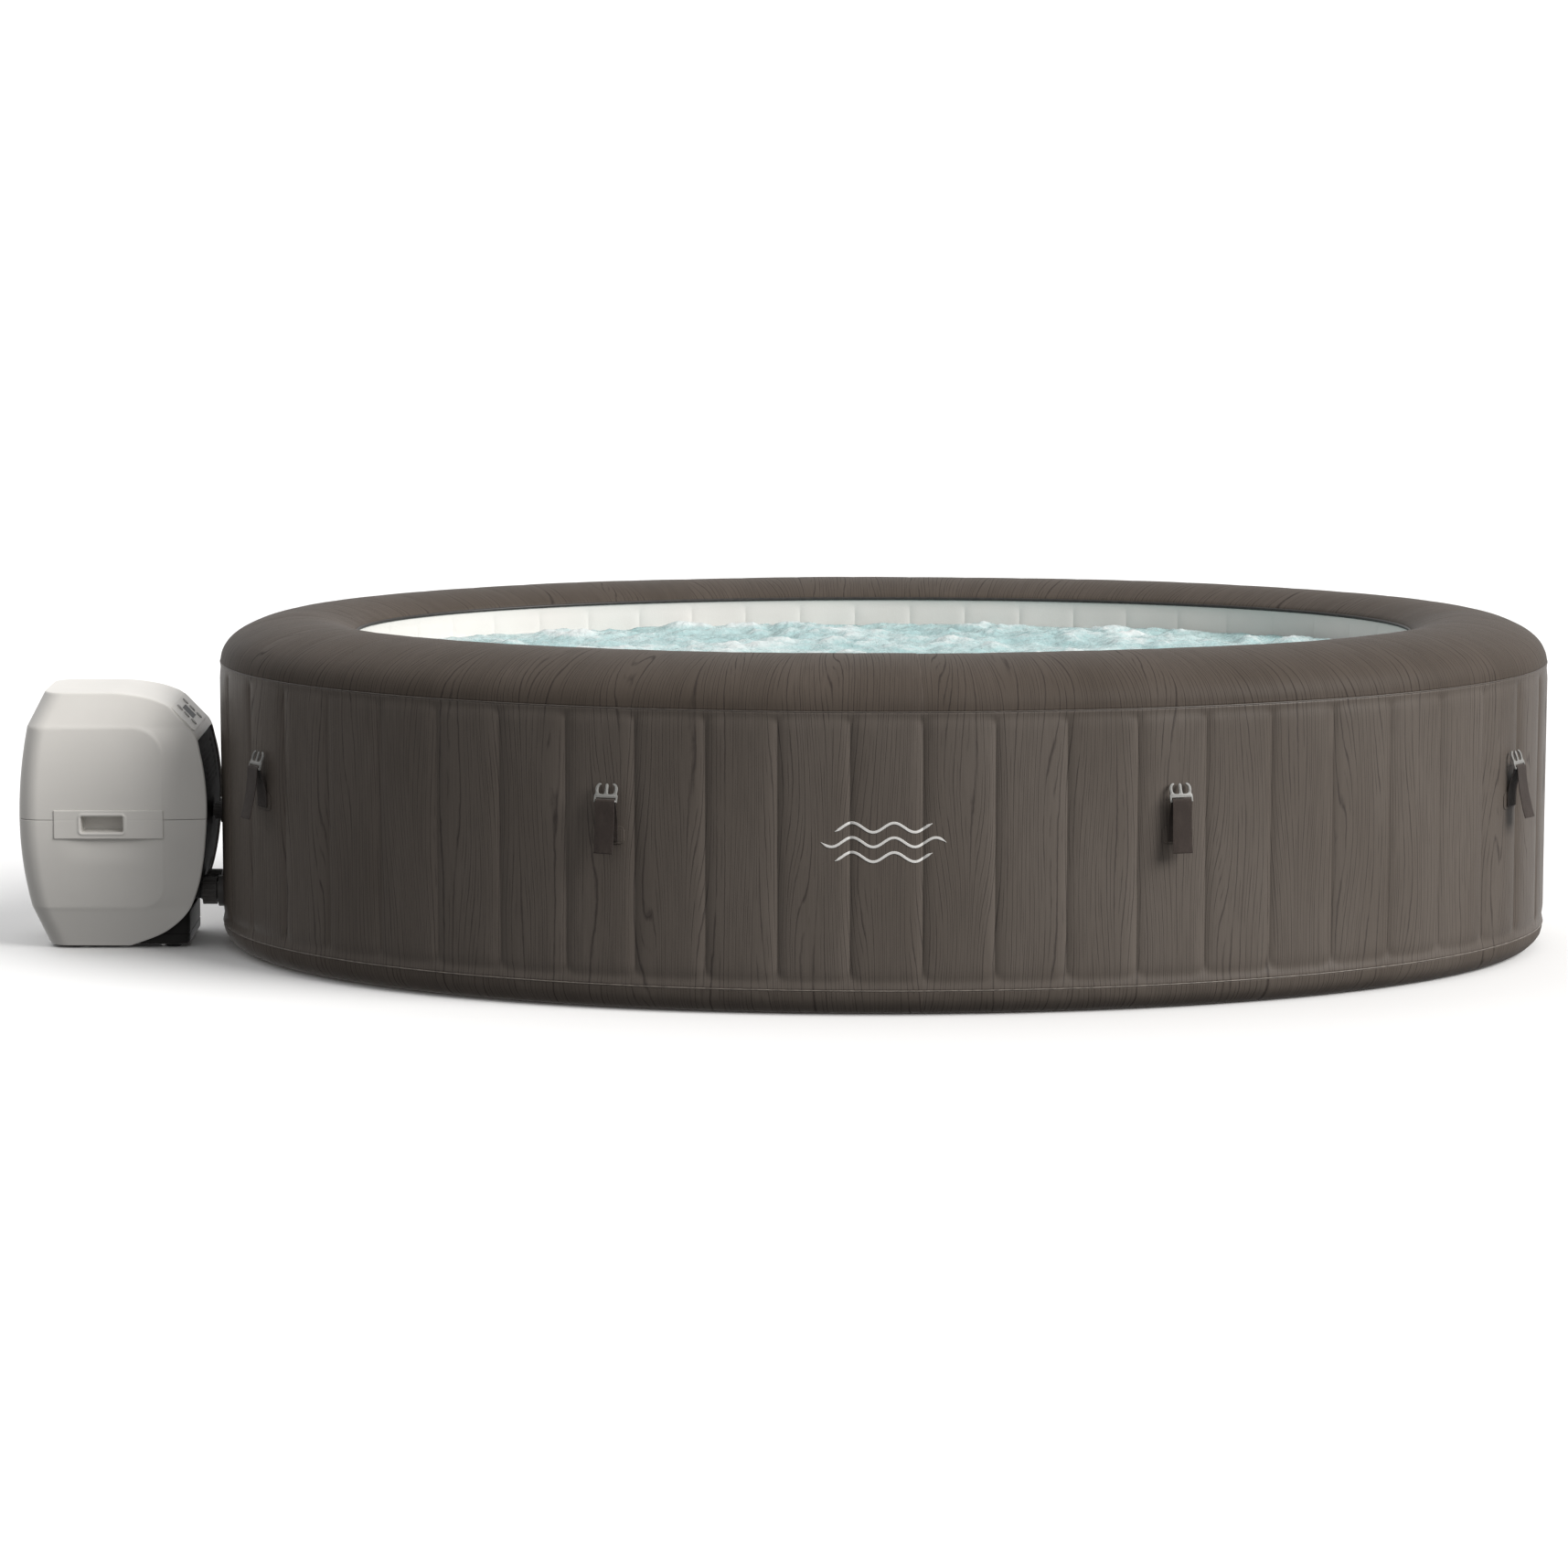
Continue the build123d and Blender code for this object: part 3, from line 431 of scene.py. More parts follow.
# ---- welded seam beads
def bead(name, inset, z, ra_, rb, body="spa", cols_=None, wob_=0.0, sides=10):
    c = cols if cols_ is None else cols_
    q = np.linspace(0, 2 * np.pi, sides, endpoint=False)
    w = 1 + wob_ * noise2(c * 90, c * 0 + 3)
    ins_ = inset - ra_ * np.cos(q)[None, :] * w[:, None]
    P_ = around(np.broadcast_to(c[:, None], ins_.shape), ins_, 0.0)
    P_[..., 2] = z + rb * np.sin(q)[None, :] * w[:, None]
    nu, nv = P_.shape[:2]
    i, j = np.meshgrid(np.arange(nu), np.arange(nv), indexing="ij")
    i, j = i.ravel(), j.ravel()
    k, l = (i + 1) % nu, (j + 1) % nv
    faces = np.stack([i * nv + j, k * nv + j, k * nv + l, i * nv + l], 1)
    U = np.append(c, PERIM)
    vq = np.append(q, 2 * np.pi) * rb
    uv = np.stack([np.stack([U[i], vq[j]], 1), np.stack([U[i + 1], vq[j]], 1), np.stack([U[i + 1], vq[j + 1]], 1),
                   np.stack([U[i], vq[j + 1]], 1)], 1).reshape(-1, 2)
    o = new_mesh(name, P_.reshape(-1, 3), faces, uv)
    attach(o, body)
    return o


seam_low = bead("bottom_seam_weld", 0.0006, Z_BOT, 0.0016, 0.0014, wob_=0.25)
seam_top = bead("top_seam_weld", 0.0008, Z_TOP, 0.0013, 0.0016, wob_=0.25)
lip = bead("rim_lip_weld", CH + 0.0012, 0.6355, 0.0030, 0.0034, wob_=0.1)

# ---- inner wall
AI, BI = A - CH, B - CH
it = []
for s in cols[:: 1]:
    t = float(t_of(s))
    px, py = A * math.cos(t), B * math.sin(t)
    nx, ny = B * math.cos(t), A * math.sin(t)
    l = math.hypot(nx, ny); nx, ny = nx / l, ny / l
    qa = (nx / AI) ** 2 + (ny / BI) ** 2
    qb = -2 * (px * nx / AI ** 2 + py * ny / BI ** 2)
    qc = (px / AI) ** 2 + (py / BI) ** 2 - 1
    d = (-qb - math.sqrt(qb * qb - 4 * qa * qc)) / (2 * qa)
    it.append(math.atan2((py - d * ny) / BI, (px - d * nx) / AI))
it = np.unwrap(np.array(it))
iz = rows(0.0185, 0.6365, 44)
cr = 1 - pillow(cols[:, None], iz[None, :], 0.04, 0.625, rc=0.02, soft=0.010)
wI = smooth(iz, 0.0185, 0.045) * (1 - smooth(iz, 0.615, 0.635))
off = (0.0020 * cr * wI[None, :]) + 0.0010 * noise2(cols[:, None] * 4 + 50, iz[None, :] * 3) * wI[None, :] - 0.0004
nxi, nyi = BI * np.cos(it), AI * np.sin(it)
li = np.hypot(nxi, nyi); nxi, nyi = nxi / li, nyi / li
P = np.zeros(off.shape + (3,))
P[..., 0] = (AI * np.cos(it))[:, None] + nxi[:, None] * off
P[..., 1] = (BI * np.sin(it))[:, None] + nyi[:, None] * off
P[..., 2] = iz[None, :]
Ui = np.append(cols, PERIM) * (5.435 / PERIM)
inner_obj = grid_piece("inner_wall_sheet", P[:, ::-1], Ui, iz[::-1])
solidify(inner_obj, 0.0022)
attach(inner_obj, "spa"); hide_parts("inner_wall")

# ================================================================ water
NX, NY = 330, 210
u, v = np.meshgrid(np.linspace(-1, 1, NX), np.linspace(-1, 1, NY), indexing="ij")
dx_, dy_ = u * np.sqrt(1 - v * v / 2), v * np.sqrt(1 - u * u / 2)
X, Y = dx_ * (AI + 0.0012), dy_ * (BI + 0.0012)
rad = np.hypot(dx_, dy_)
edge = 1 - smooth(rad, 0.93, 1.0) * 0.65
hw = (0.012 * noise2(X * 5.0, Y * 6.5 + 3) + 0.011 * np.abs(noise2(X * 11 + 31, Y * 14)) * 1.4
      + 0.0065 * noise2(X * 24 + 7, Y * 30) + 0.0042 * np.abs(noise2(X * 55, Y * 62 + 11)) + 0.0016 * noise2(X * 120, Y * 130))
WZ = 0.578
zw = WZ + hw * edge * 1.3
top_v = np.stack([X, Y, zw], -1)
# a skirt and underside make the water a closed body
nvt = NX * NY
idx = np.arange(nvt).reshape(NX, NY)
f = np.stack([idx[:-1, :-1], idx[1:, :-1], idx[1:, 1:], idx[:-1, 1:]], -1).reshape(-1, 4)
ring = np.concatenate([idx[:, 0], idx[-1, 1:], idx[-2::-1, -1], idx[0, -2:0:-1]])
rv_ = top_v.reshape(-1, 3)[ring].copy()
rv_[:, 2] = WZ - 0.045
verts = np.vstack([top_v.reshape(-1, 3), rv_, [[0, 0, WZ - 0.045]]])
n = len(ring)
r0 = nvt + np.arange(n)
side_f = np.stack([ring, r0, np.roll(r0, -1), np.roll(ring, -1)], 1)
faces = [tuple(q) for q in f] + [tuple(q) for q in side_f] + [(int(r0[(i + 1) % n]), int(r0[i]), nvt + n) for i in range(n)]
water = new_mesh("water_surface", verts, faces)
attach(water, "spa")
bm = bmesh.new(); bm.from_mesh(water.data); bmesh.ops.recalc_face_normals(bm, faces=bm.faces); bm.to_mesh(water.data); bm.free()

# ================================================================ materials
def wood_print(name, warm=0.0, dark=1.0, spec=0.38, rough0=0.42):
    m, nt, b = node_mat(name)
    g = G(nt)
    uvn = g.n("ShaderNodeUVMap"); uvn.uv_map = "grain"
    sp_ = g.n("ShaderNodeSeparateXYZ")
    nt.links.new(uvn.outputs[0], sp_.inputs[0])
    u_, v_ = sp_.outputs[0], sp_.outputs[1]
    # a field whose contours are the printed growth lines; where its slow part is steep they close into knots
    slow = g.noise(g.vec(g.math("MULTIPLY", u_, 15.0), g.math("MULTIPLY", v_, 2.1), 0.3), 1.0, 0.0, 0.5)
    mid = g.noise(g.vec(g.math("MULTIPLY", u_, 4.5), g.math("MULTIPLY", v_, 0.9), 4.3), 1.0, 1.0, 0.5)
    fine = g.noise(g.vec(g.math("MULTIPLY", u_, 95.0), g.math("MULTIPLY", v_, 26.0), 9.3), 1.0, 2.0, 0.55)
    fld = g.math("MULTIPLY", u_, 92.0)
    fld = g.math("ADD", fld, g.math("MULTIPLY", slow, 7.6))
    fld = g.math("ADD", fld, g.math("MULTIPLY", mid, 2.6))
    fld = g.math("ADD", fld, g.math("MULTIPLY", fine, 0.22))
    fr = g.math("FRACT", fld)
    tri = g.math("ABSOLUTE", g.math("SUBTRACT", fr, 0.5))          # 0 on a line
    # line width and darkness vary along each line
    vary = g.noise(g.vec(g.math("MULTIPLY", u_, 70.0), g.math("MULTIPLY", v_, 5.0), 21.0), 1.0, 2.0, 0.6)
    wid = g.math("ADD", 0.055, g.math("MULTIPLY", g.math("SUBTRACT", vary, 0.3), 0.20))
    line = g.math("SUBTRACT", 1.0, g.math("DIVIDE", tri, g.math("MAXIMUM", wid, 0.03)), clamp=True)
    gap = g.step(g.noise(g.vec(g.math("MULTIPLY", u_, 85.0), g.math("MULTIPLY", v_, 7.0), 37.0), 1.0, 2.0, 0.5), 0.33, 0.50)
    line = g.math("MULTIPLY", line, g.math("ADD", 0.25, g.math("MULTIPLY", gap, 0.75)))
    # fainter lines between them
    fr2 = g.math("FRACT", g.math("ADD", g.math("MULTIPLY", fld, 2.0), 0.41))
    tri2 = g.math("ABSOLUTE", g.math("SUBTRACT", fr2, 0.5))
    dash = g.math("SUBTRACT", 1.0, g.math("DIVIDE", tri2, 0.16), clamp=True)
    dmask = g.step(g.noise(g.vec(g.math("MULTIPLY", u_, 60.0), g.math("MULTIPLY", v_, 9.0), 53.0), 1.0, 2.0, 0.5), 0.44, 0.62)
    dash = g.math("MULTIPLY", g.math("MULTIPLY", dash, dmask), 0.75)
    lines = g.math("MAXIMUM", line, dash)
    # ground colour: soft streaks and broad tone changes
    streak = g.noise(g.vec(g.math("MULTIPLY", u_, 420.0), g.math("MULTIPLY", v_, 9.0), 5.0), 1.0, 2.0, 0.6)
    broad = g.noise(g.vec(g.math("MULTIPLY", u_, 5.0), g.math("MULTIPLY", v_, 1.6), 15.0), 1.0, 2.0, 0.5)
    c0 = tuple(x * dark for x in (0.1160 + 0.004 * warm, 0.0965, 0.0815 - 0.003 * warm))
    c1 = tuple(x * dark for x in (0.1380 + 0.005 * warm, 0.1165, 0.1000 - 0.003 * warm))
    ground = g.mix(g.step(broad, 0.3, 0.7), c0, c1)
    ground = g.mix(g.math("MULTIPLY", g.step(streak, 0.35, 0.7), 0.35), ground, tuple(x * 0.72 for x in c0))
    col = g.mix(g.math("MULTIPLY", lines, 0.80), ground, tuple(x * dark for x in (0.034, 0.026, 0.0235)))
    nt.links.new(col, b.inputs["Base Color"])
    rough = g.math("ADD", rough0, g.math("MULTIPLY", lines, 0.16))
    rough = g.math("ADD", rough, g.math("MULTIPLY", g.math("SUBTRACT", broad, 0.5), 0.16))
    nt.links.new(rough, b.inputs["Roughness"])
    b.inputs["Specular IOR Level"].default_value = spec
    pebble = g.noise(g.vec(g.math("MULTIPLY", u_, 900.0), g.math("MULTIPLY", v_, 900.0), 1.0), 1.0, 1.0, 0.5)
    h = g.math("ADD", g.math("MULTIPLY", lines, -0.6), g.math("MULTIPLY", pebble, 0.35))
    nt.links.new(g.bump(h, 0.0004, 0.8), b.inputs["Normal"])
    return m


def cream_vinyl():
    m, nt, b = node_mat("cream_vinyl")
    g = G(nt)
    co = g.n("ShaderNodeTexCoord").outputs["Object"]
    a = g.noise(co, 2.2, 3.0, 0.5)
    c = g.mix(g.step(a, 0.3, 0.7), (0.70, 0.665, 0.635), (0.745, 0.715, 0.685))
    grime = g.noise(co, 14.0, 4.0, 0.6)
    c = g.mix(g.math("MULTIPLY", g.step(grime, 0.55, 0.8), 0.10), c, (0.70, 0.66, 0.60))
    nt.links.new(c, b.inputs["Base Color"])
    nt.links.new(g.math("ADD", 0.38, g.math("MULTIPLY", a, 0.12)), b.inputs["Roughness"])
    leather = g.n("ShaderNodeTexVoronoi"); leather.inputs["Scale"].default_value = 420.0
    nt.links.new(co, leather.inputs["Vector"])
    nt.links.new(g.bump(leather.outputs["Distance"], 0.0002, 0.35), b.inputs["Normal"])
    b.inputs["Specular IOR Level"].default_value = 0.4
    return m


def water_mat():
    m, nt, b = node_mat("bubbling_water")
    g = G(nt)
    co = g.n("ShaderNodeTexCoord").outputs["Object"]
    sep_ = g.n("ShaderNodeSeparateXYZ"); nt.links.new(co, sep_.inputs[0])
    flat = g.vec(g.math("MULTIPLY", sep_.outputs[0], 1.0), g.math("MULTIPLY", sep_.outputs[1], 1.25), 0.0)
    big = g.noise(flat, 3.4, 3.0, 0.55)
    foam_n = g.noise(flat, 22.0, 6.0, 0.68, dist=0.8)
    crest = g.step(sep_.outputs[2], 0.575, 0.602)
    foam = g.math("ADD", g.math("MULTIPLY", foam_n, 0.75), g.math("MULTIPLY", crest, 0.30))
    foam = g.math("ADD", foam, g.math("MULTIPLY", g.math("SUBTRACT", big, 0.5), 0.5))
    f_ = g.step(foam, 0.38, 0.72)
    bub = g.n("ShaderNodeTexVoronoi"); bub.inputs["Scale"].default_value = 95.0
    nt.links.new(co, bub.inputs["Vector"])
    deep = g.mix(g.step(big, 0.3, 0.7), (0.335, 0.50, 0.505), (0.44, 0.585, 0.585))
    col = g.mix(f_, deep, (0.66, 0.70, 0.695))
    col = g.mix(g.math("MULTIPLY", g.math("SUBTRACT", 1.0, g.step(bub.outputs["Distance"], 0.02, 0.35)), 0.22), col, (0.72, 0.755, 0.75))
    nt.links.new(col, b.inputs["Base Color"])
    nt.links.new(g.math("ADD", 0.16, g.math("MULTIPLY", f_, 0.40)), b.inputs["Roughness"])
    b.inputs["IOR"].default_value = 1.33
    b.inputs["Specular IOR Level"].default_value = 0.5
    h = g.math("ADD", g.noise(flat, 60.0, 4.0, 0.6, dist=0.4), g.math("MULTIPLY", g.math("SUBTRACT", 1.0, bub.outputs["Distance"]), 0.25))
    nt.links.new(g.bump(h, 0.006, 0.7), b.inputs["Normal"])
    return m


WOOD = wood_print("wood_print_wall", dark=0.97, spec=0.30, rough0=0.46)
WOOD_RIM = wood_print("wood_print_rim", warm=1.6, dark=0.60, spec=0.16, rough0=0.58)
CREAM = cream_vinyl()
WATER = water_mat()


def give(obj, mat):
    obj.data.materials.clear()
    obj.data.materials.append(mat)


# darker copy of the wall print for the skirt: painted shade where the skirt curls under towards the floor
WOOD_SKIRT_SHADE = wood_print("wood_print_skirt_shade", dark=0.90, spec=0.08, rough0=0.62)
give(wall_obj, WOOD); give(skirt_obj, WOOD_SKIRT_SHADE); give(rim_obj, WOOD_RIM)
give(inner_obj, CREAM); give(water, WATER)


def weld_mat(name, c0, c1, rough=0.5):
    m, nt, b = node_mat(name)
    g = G(nt)
    uvn = g.n("ShaderNodeUVMap"); uvn.uv_map = "grain"
    sp_ = g.n("ShaderNodeSeparateXYZ"); nt.links.new(uvn.outputs[0], sp_.inputs[0])
    a = g.noise(g.vec(g.math("MULTIPLY", sp_.outputs[0], 55.0), g.math("MULTIPLY", sp_.outputs[1], 100.0), 2.0), 1.0, 3.0, 0.6)
    nt.links.new(g.mix(g.step(a, 0.35, 0.65), c0, c1), b.inputs["Base Color"])
    nt.links.new(g.math("ADD", rough - 0.08, g.math("MULTIPLY", a, 0.16)), b.inputs["Roughness"])
    nt.links.new(g.bump(a, 0.0006, 0.5), b.inputs["Normal"])
    return m


give(seam_low, weld_mat("seam_weld_light", (0.115, 0.098, 0.085), (0.22, 0.19, 0.165)))
give(seam_top, weld_mat("seam_weld_dark", (0.075, 0.063, 0.055), (0.11, 0.092, 0.078)))
give(lip, weld_mat("lip_weld", (0.016, 0.013, 0.012), (0.03, 0.025, 0.022)))

# ================================================================ pump casing
CX, CZ = -1.560, 0.270
PX0, PHALF = -1.750, 0.170
ARCH = np.array([(-1.560, .5225), (-1.541, .5212), (-1.522, .5190), (-1.5025, .5158), (-1.483, .5115), (-1.4635, .5048),
                 (-1.4445, .4955), (-1.4316, .4820), (-1.4188, .4685), (-1.4059, .4550), (-1.393, .4415), (-1.3795, .398), (-1.371, .347),
                 (-1.368, .296), (-1.371, .235), (-1.378, .177), (-1.390, .125), (-1.411, .078), (-1.453, .038),
                 (-1.510, .012), (-1.530, .005)])


def inset_z(z):
    z = np.asarray(z, float)
    return np.where(z < .087, .020 + (.087 - z) / .077 * .030,
                    np.where(z < .270, .020 * ((.270 - z) / .183) ** 2,
                             np.where(z < .455, .017 * ((z - .270) / .185) ** 2, .017 + (z - .455) / .067 * .033)))


def smooth_line(pts, n):
    d = np.concatenate([[0], np.cumsum(np.hypot(*np.diff(pts, axis=0).T))])
    q = np.linspace(0, d[-1], n)
    return np.stack([cubic(q, d, pts[:, 0]), cubic(q, d, pts[:, 1])], 1)


arch_line = smooth_line(ARCH, 240)
zl = np.concatenate([np.linspace(.0055, .087, 14), np.linspace(.087, .455, 60)[1:], np.linspace(.455, .5225, 12)[1:]])
left_line = np.stack([PX0 + inset_z(zl), zl], 1)
outline = np.vstack([left_line, arch_line])          # clockwise from the bottom left


def ray_hit(theta):
    d = np.array([math.cos(theta), math.sin(theta)])
    a = outline - [CX, CZ]
    b = np.roll(a, -1, axis=0)
    e = b - a
    den = d[0] * e[:, 1] - d[1] * e[:, 0]
    with np.errstate(divide="ignore", invalid="ignore"):
        r = (a[:, 0] * e[:, 1] - a[:, 1] * e[:, 0]) / den
        w = (a[:, 0] * d[1] - a[:, 1] * d[0]) / den
    ok = (np.abs(den) > 1e-12) & (r > 0) & (w >= -1e-9) & (w <= 1 + 1e-9)
    return r[ok].min()


def seg_dist(P2, line):
    best = np.full(len(P2), 9.0)
    for a, b in zip(line[:-1], line[1:]):
        ab = b - a
        t = np.clip(((P2 - a) @ ab) / max(ab @ ab, 1e-12), 0, 1)
        best = np.minimum(best, np.linalg.norm(P2 - (a + t[:, None] * ab), axis=1))
    return best


edge_line = np.vstack([[left_line[-1]], arch_line])


def face_depth(x, z):
    """Half width of the casing at (x, z)."""
    xb, zc, hh = -1.457, .271, .184
    r = np.where(z > zc, .062, .048)
    qx = np.maximum(x - (xb - r), 0)
    qz = np.maximum(np.abs(z - zc) - (hh - r), 0)
    d = np.hypot(qx, qz) - r
    ang = np.arctan2(qz, np.maximum(qx, 1e-6))
    slope = .125 + (np.where(z > zc, .49, .39) - .125) * np.sin(ang) ** 2
    # the slope eases in, so the crease is crisp at the corners and fades along the upright
    d = np.maximum(d, 0)
    zc_ = np.clip(z, .087, .455)
    o = inset_z(zc_) + slope * d
    o = o + .0009 * (d > 0) * np.minimum(d / .004, 1)
    dl = x - (PX0 + inset_z(z))
    R = .042
    q = np.clip(1 - dl / R, 0, 1)
    o = o + R * (1 - np.sqrt(np.maximum(1 - q * q, 0)))
    # hollow under the hand grip, for the fingers
    hx = smooth(x, -1.668, -1.600) * (1 - smooth(x, -1.530, -1.462))
    hz = (1 - smooth(z, .2335, .236)) * smooth(z, .175, .2335)
    o = o + .0062 * hx * hz
    return PHALF - o


def edge_round(P2, r=.0032):
    d = seg_dist(P2, edge_line)
    q = np.clip(1 - d / r, 0, 1)
    return r * (1 - np.sqrt(np.maximum(1 - q * q, 0)))


def casing(name, a0, a1, z_lim, slot_nodes):
    special = [math.atan2(z - CZ, x - CX) for x, z in [left_line[0], (PX0 + .020, .087), (PX0 + .017, .455), left_line[-1], arch_line[0], arch_line[-1]]]
    th = list(np.linspace(a0, a1, 300))
    for t in special:
        for k in (-2 * math.pi, 0, 2 * math.pi):
            if a0 < t + k < a1:
                th.append(t + k)
    th = np.array(sorted(th))
    keep = np.concatenate([[True], np.diff(th) > 1e-4])
    th = th[keep]
    R = np.array([ray_hit(t) for t in th])
    # distances in from the outline, then even steps to the middle
    fine_ = np.array([0, .0004, .0010, .0018, .0030, .0045, .0065, .009, .012, .0155, .0195, .024, .029, .035])
    rest = np.linspace(0, 1, 62)[1:]
    rr = np.array([np.concatenate([Ri - fine_, (Ri - .035) * (1 - rest)]) for Ri in R])
    rr[:, -1] = 0.0
    nr = rr.shape[1]
    X_ = CX + rr * np.cos(th)[:, None]
    Z_ = CZ + rr * np.sin(th)[:, None]
    D_ = face_depth(X_, Z_) - edge_round(np.stack([X_.ravel(), Z_.ravel()], 1)).reshape(X_.shape)
    Zp = np.maximum(Z_, CZ + .0005) if z_lim > 0 else np.minimum(Z_, CZ - .0005)
    nt_ = len(th)
    verts, faces = [], []
    front_id = np.zeros((nt_, nr), int)
    for side in (-1, 1):
        base = len(verts)
        for i in range(nt_):
            for j in range(nr):
                verts.append((X_[i, j], side * D_[i, j], Zp[i, j]))
        ids = base + np.arange(nt_ * nr).reshape(nt_, nr)
        for i in range(nt_ - 1):
            for j in range(nr - 1):
                cx_, cz_ = X_[i:i + 2, j:j + 2].mean(), Zp[i:i + 2, j:j + 2].mean()
                if -1.671 < cx_ < -1.460 and .2370 < cz_ < .2855:
                    continue
                q = (ids[i, j], ids[i + 1, j], ids[i + 1, j + 1], ids[i, j + 1])
                if j == nr - 2:
                    q = (ids[i, j], ids[i + 1, j], ids[i, j + 1])
                faces.append(q if side < 0 else q[::-1])
        if side < 0:
            ring_a = ids[:, 0].copy()
        else:
            ring_b = ids[:, 0].copy()
    # the strip from the near face to the far one
    steps = np.array([-1, -.985, -.15 / .16, -.8, -.6, -.4, -.2, 0, .2, .4, .6, .8, .15 / .16, .985, 1])
    rows_ = [ring_a]
    crown = []
    for kf in steps[1:-1]:
        base = len(verts)
        for i in range(nt_):
            yy = D_[i, 0] * kf
            verts.append((X_[i, 0], yy, Zp[i, 0]))
        rows_.append(base + np.arange(nt_))
    rows_.append(ring_b)
    for k in range(len(rows_) - 1):
        for i in range(nt_ - 1):
            xm, zm = (X_[i, 0] + X_[i + 1, 0]) / 2, (Zp[i, 0] + Zp[i + 1, 0]) / 2
            if zm < .0062 and xm < -1.50:
                continue
            if 1 <= k < len(rows_) - 2 and xm > -1.535 and zm < .4270:
                continue
            faces.append((rows_[k][i], rows_[k + 1][i], rows_[k + 1][i + 1], rows_[k][i + 1]))
    o = new_mesh(name, verts, faces)
    bm = bmesh.new(); bm.from_mesh(o.data)
    bmesh.ops.remove_doubles(bm, verts=bm.verts, dist=2e-5)
    bmesh.ops.delete(bm, geom=[v for v in bm.verts if not v.link_faces], context="VERTS")
    bmesh.ops.recalc_face_normals(bm, faces=bm.faces)
    c = Vector((CX, 0, CZ))
    vote = sum((f.calc_center_median() - c).dot(f.normal) * f.calc_area() for f in bm.faces)
    if vote < 0:
        bmesh.ops.reverse_faces(bm, faces=bm.faces)
    for e in bm.edges:
        if len(e.link_faces) == 2 and e.calc_face_angle(0) > math.radians(50):
            e.smooth = False
    bm.to_mesh(o.data); bm.free()
    solidify(o, 0.003)
    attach(o, "spa"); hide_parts(*slot_nodes)
    return o


case_up = casing("upper_casing_shell", 0.0, math.pi, 1, ["upper_casing"])
case_lo = casing("lower_casing_shell", -math.pi, 0.0, -1, ["lower_casing"])


# ---- hand grips: flat band, raised frame round a finger slot, deep pocket
def grips():
    xs = np.unique(np.round(np.concatenate([np.linspace(-1.676, -1.455, 150), [-1.6755, -1.6748, -1.4557, -1.4564],
                                            np.linspace(-1.6245, -1.6185, 10), np.linspace(-1.5395, -1.5335, 10)]), 6))
    zs = np.unique(np.round(np.concatenate([np.linspace(.232, .290, 40), [.2325, .2332, .2888, .2894],
                                            np.linspace(.2425, .2485, 10), np.linspace(.2745, .2805, 10)]), 6))
    X_, Z_ = np.meshgrid(xs, zs, indexing="ij")
    qx = np.abs(X_ + 1.579) - (.0430 - .004)
    qz = np.abs(Z_ - .2615) - (.0165 - .004)
    d = np.hypot(np.maximum(qx, 0), np.maximum(qz, 0)) + np.minimum(np.maximum(qx, qz), 0) - .004   # <0 in the slot
    y = np.full(X_.shape, .1724)
    e = np.minimum(np.minimum(X_ + 1.676, -1.455 - X_), np.minimum(Z_ - .232, .290 - Z_))
    y = y - .0016 * (1 - np.sqrt(1 - np.clip(1 - e / .0016, 0, 1) ** 2))
    y = y + .0016 * np.exp(-((d - .0032) / .0024) ** 2)            # frame
    y = y - .0400 * (1 - smooth(-d, -.0002, .0002)) * 0 - .0385 * smooth(-d, 0.0, .0030)
    y = y - .0004 * np.exp(-((Z_ - .270) / .0008) ** 2) * (d > .004)   # parting line carried over
    objs = []
    for side, tag in ((-1, "near"), (1, "far")):
        n1, n2 = X_.shape
        V = np.stack([X_, side * y, Z_], -1).reshape(-1, 3)
        idx = np.arange(n1 * n2).reshape(n1, n2)
        F = np.stack([idx[:-1, :-1], idx[1:, :-1], idx[1:, 1:], idx[:-1, 1:]], -1).reshape(-1, 4)
        if side > 0:
            F = F[:, ::-1]
        o = new_mesh("hand_grip_" + tag, V, F)
        solidify(o, 0.0022)
        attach(o, "spa")
        objs.append(o)
    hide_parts("handle_grips")
    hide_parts("handle_grips")
    return objs


grip_objs = grips()


# ================================================================ plastics and metals
def moulded(name, col, rough=0.4, var=0.05, grain=900.0, bump_d=0.00012, spec=0.45, cloud=9.0, mottle=None, metal=0.0, coat=0.0):
    m, nt, b = node_mat(name)
    g = G(nt)
    co = g.n("ShaderNodeTexCoord").outputs["Object"]
    a = g.noise(co, cloud, 4.0, 0.55)
    lo = tuple(max(0.0, c * (1 - var)) for c in col)
    hi = tuple(min(1.0, c * (1 + var)) for c in col)
    c = g.mix(g.step(a, 0.35, 0.65), lo, hi)
    if mottle:
        sp2 = g.noise(co, 260.0, 2.0, 0.5)
        c = g.mix(g.math("MULTIPLY", g.step(sp2, 0.60, 0.72), mottle[1]), c, mottle[0])
    nt.links.new(c, b.inputs["Base Color"])
    r = g.noise(co, cloud * 3.1, 3.0, 0.6)
    nt.links.new(g.math("ADD", rough - 0.06, g.math("MULTIPLY", r, 0.12)), b.inputs["Roughness"])
    b.inputs["Specular IOR Level"].default_value = spec
    b.inputs["Metallic"].default_value = metal
    if coat:
        b.inputs["Coat Weight"].default_value = coat
        b.inputs["Coat Roughness"].default_value = 0.1
    v = g.noise(co, grain, 2.0, 0.5)
    s1 = g.noise(co, 60.0, 2.0, 0.5)
    h = g.math("ADD", v, g.math("MULTIPLY", s1, 0.6))
    nt.links.new(g.bump(h, bump_d, 0.7), b.inputs["Normal"])
    return m


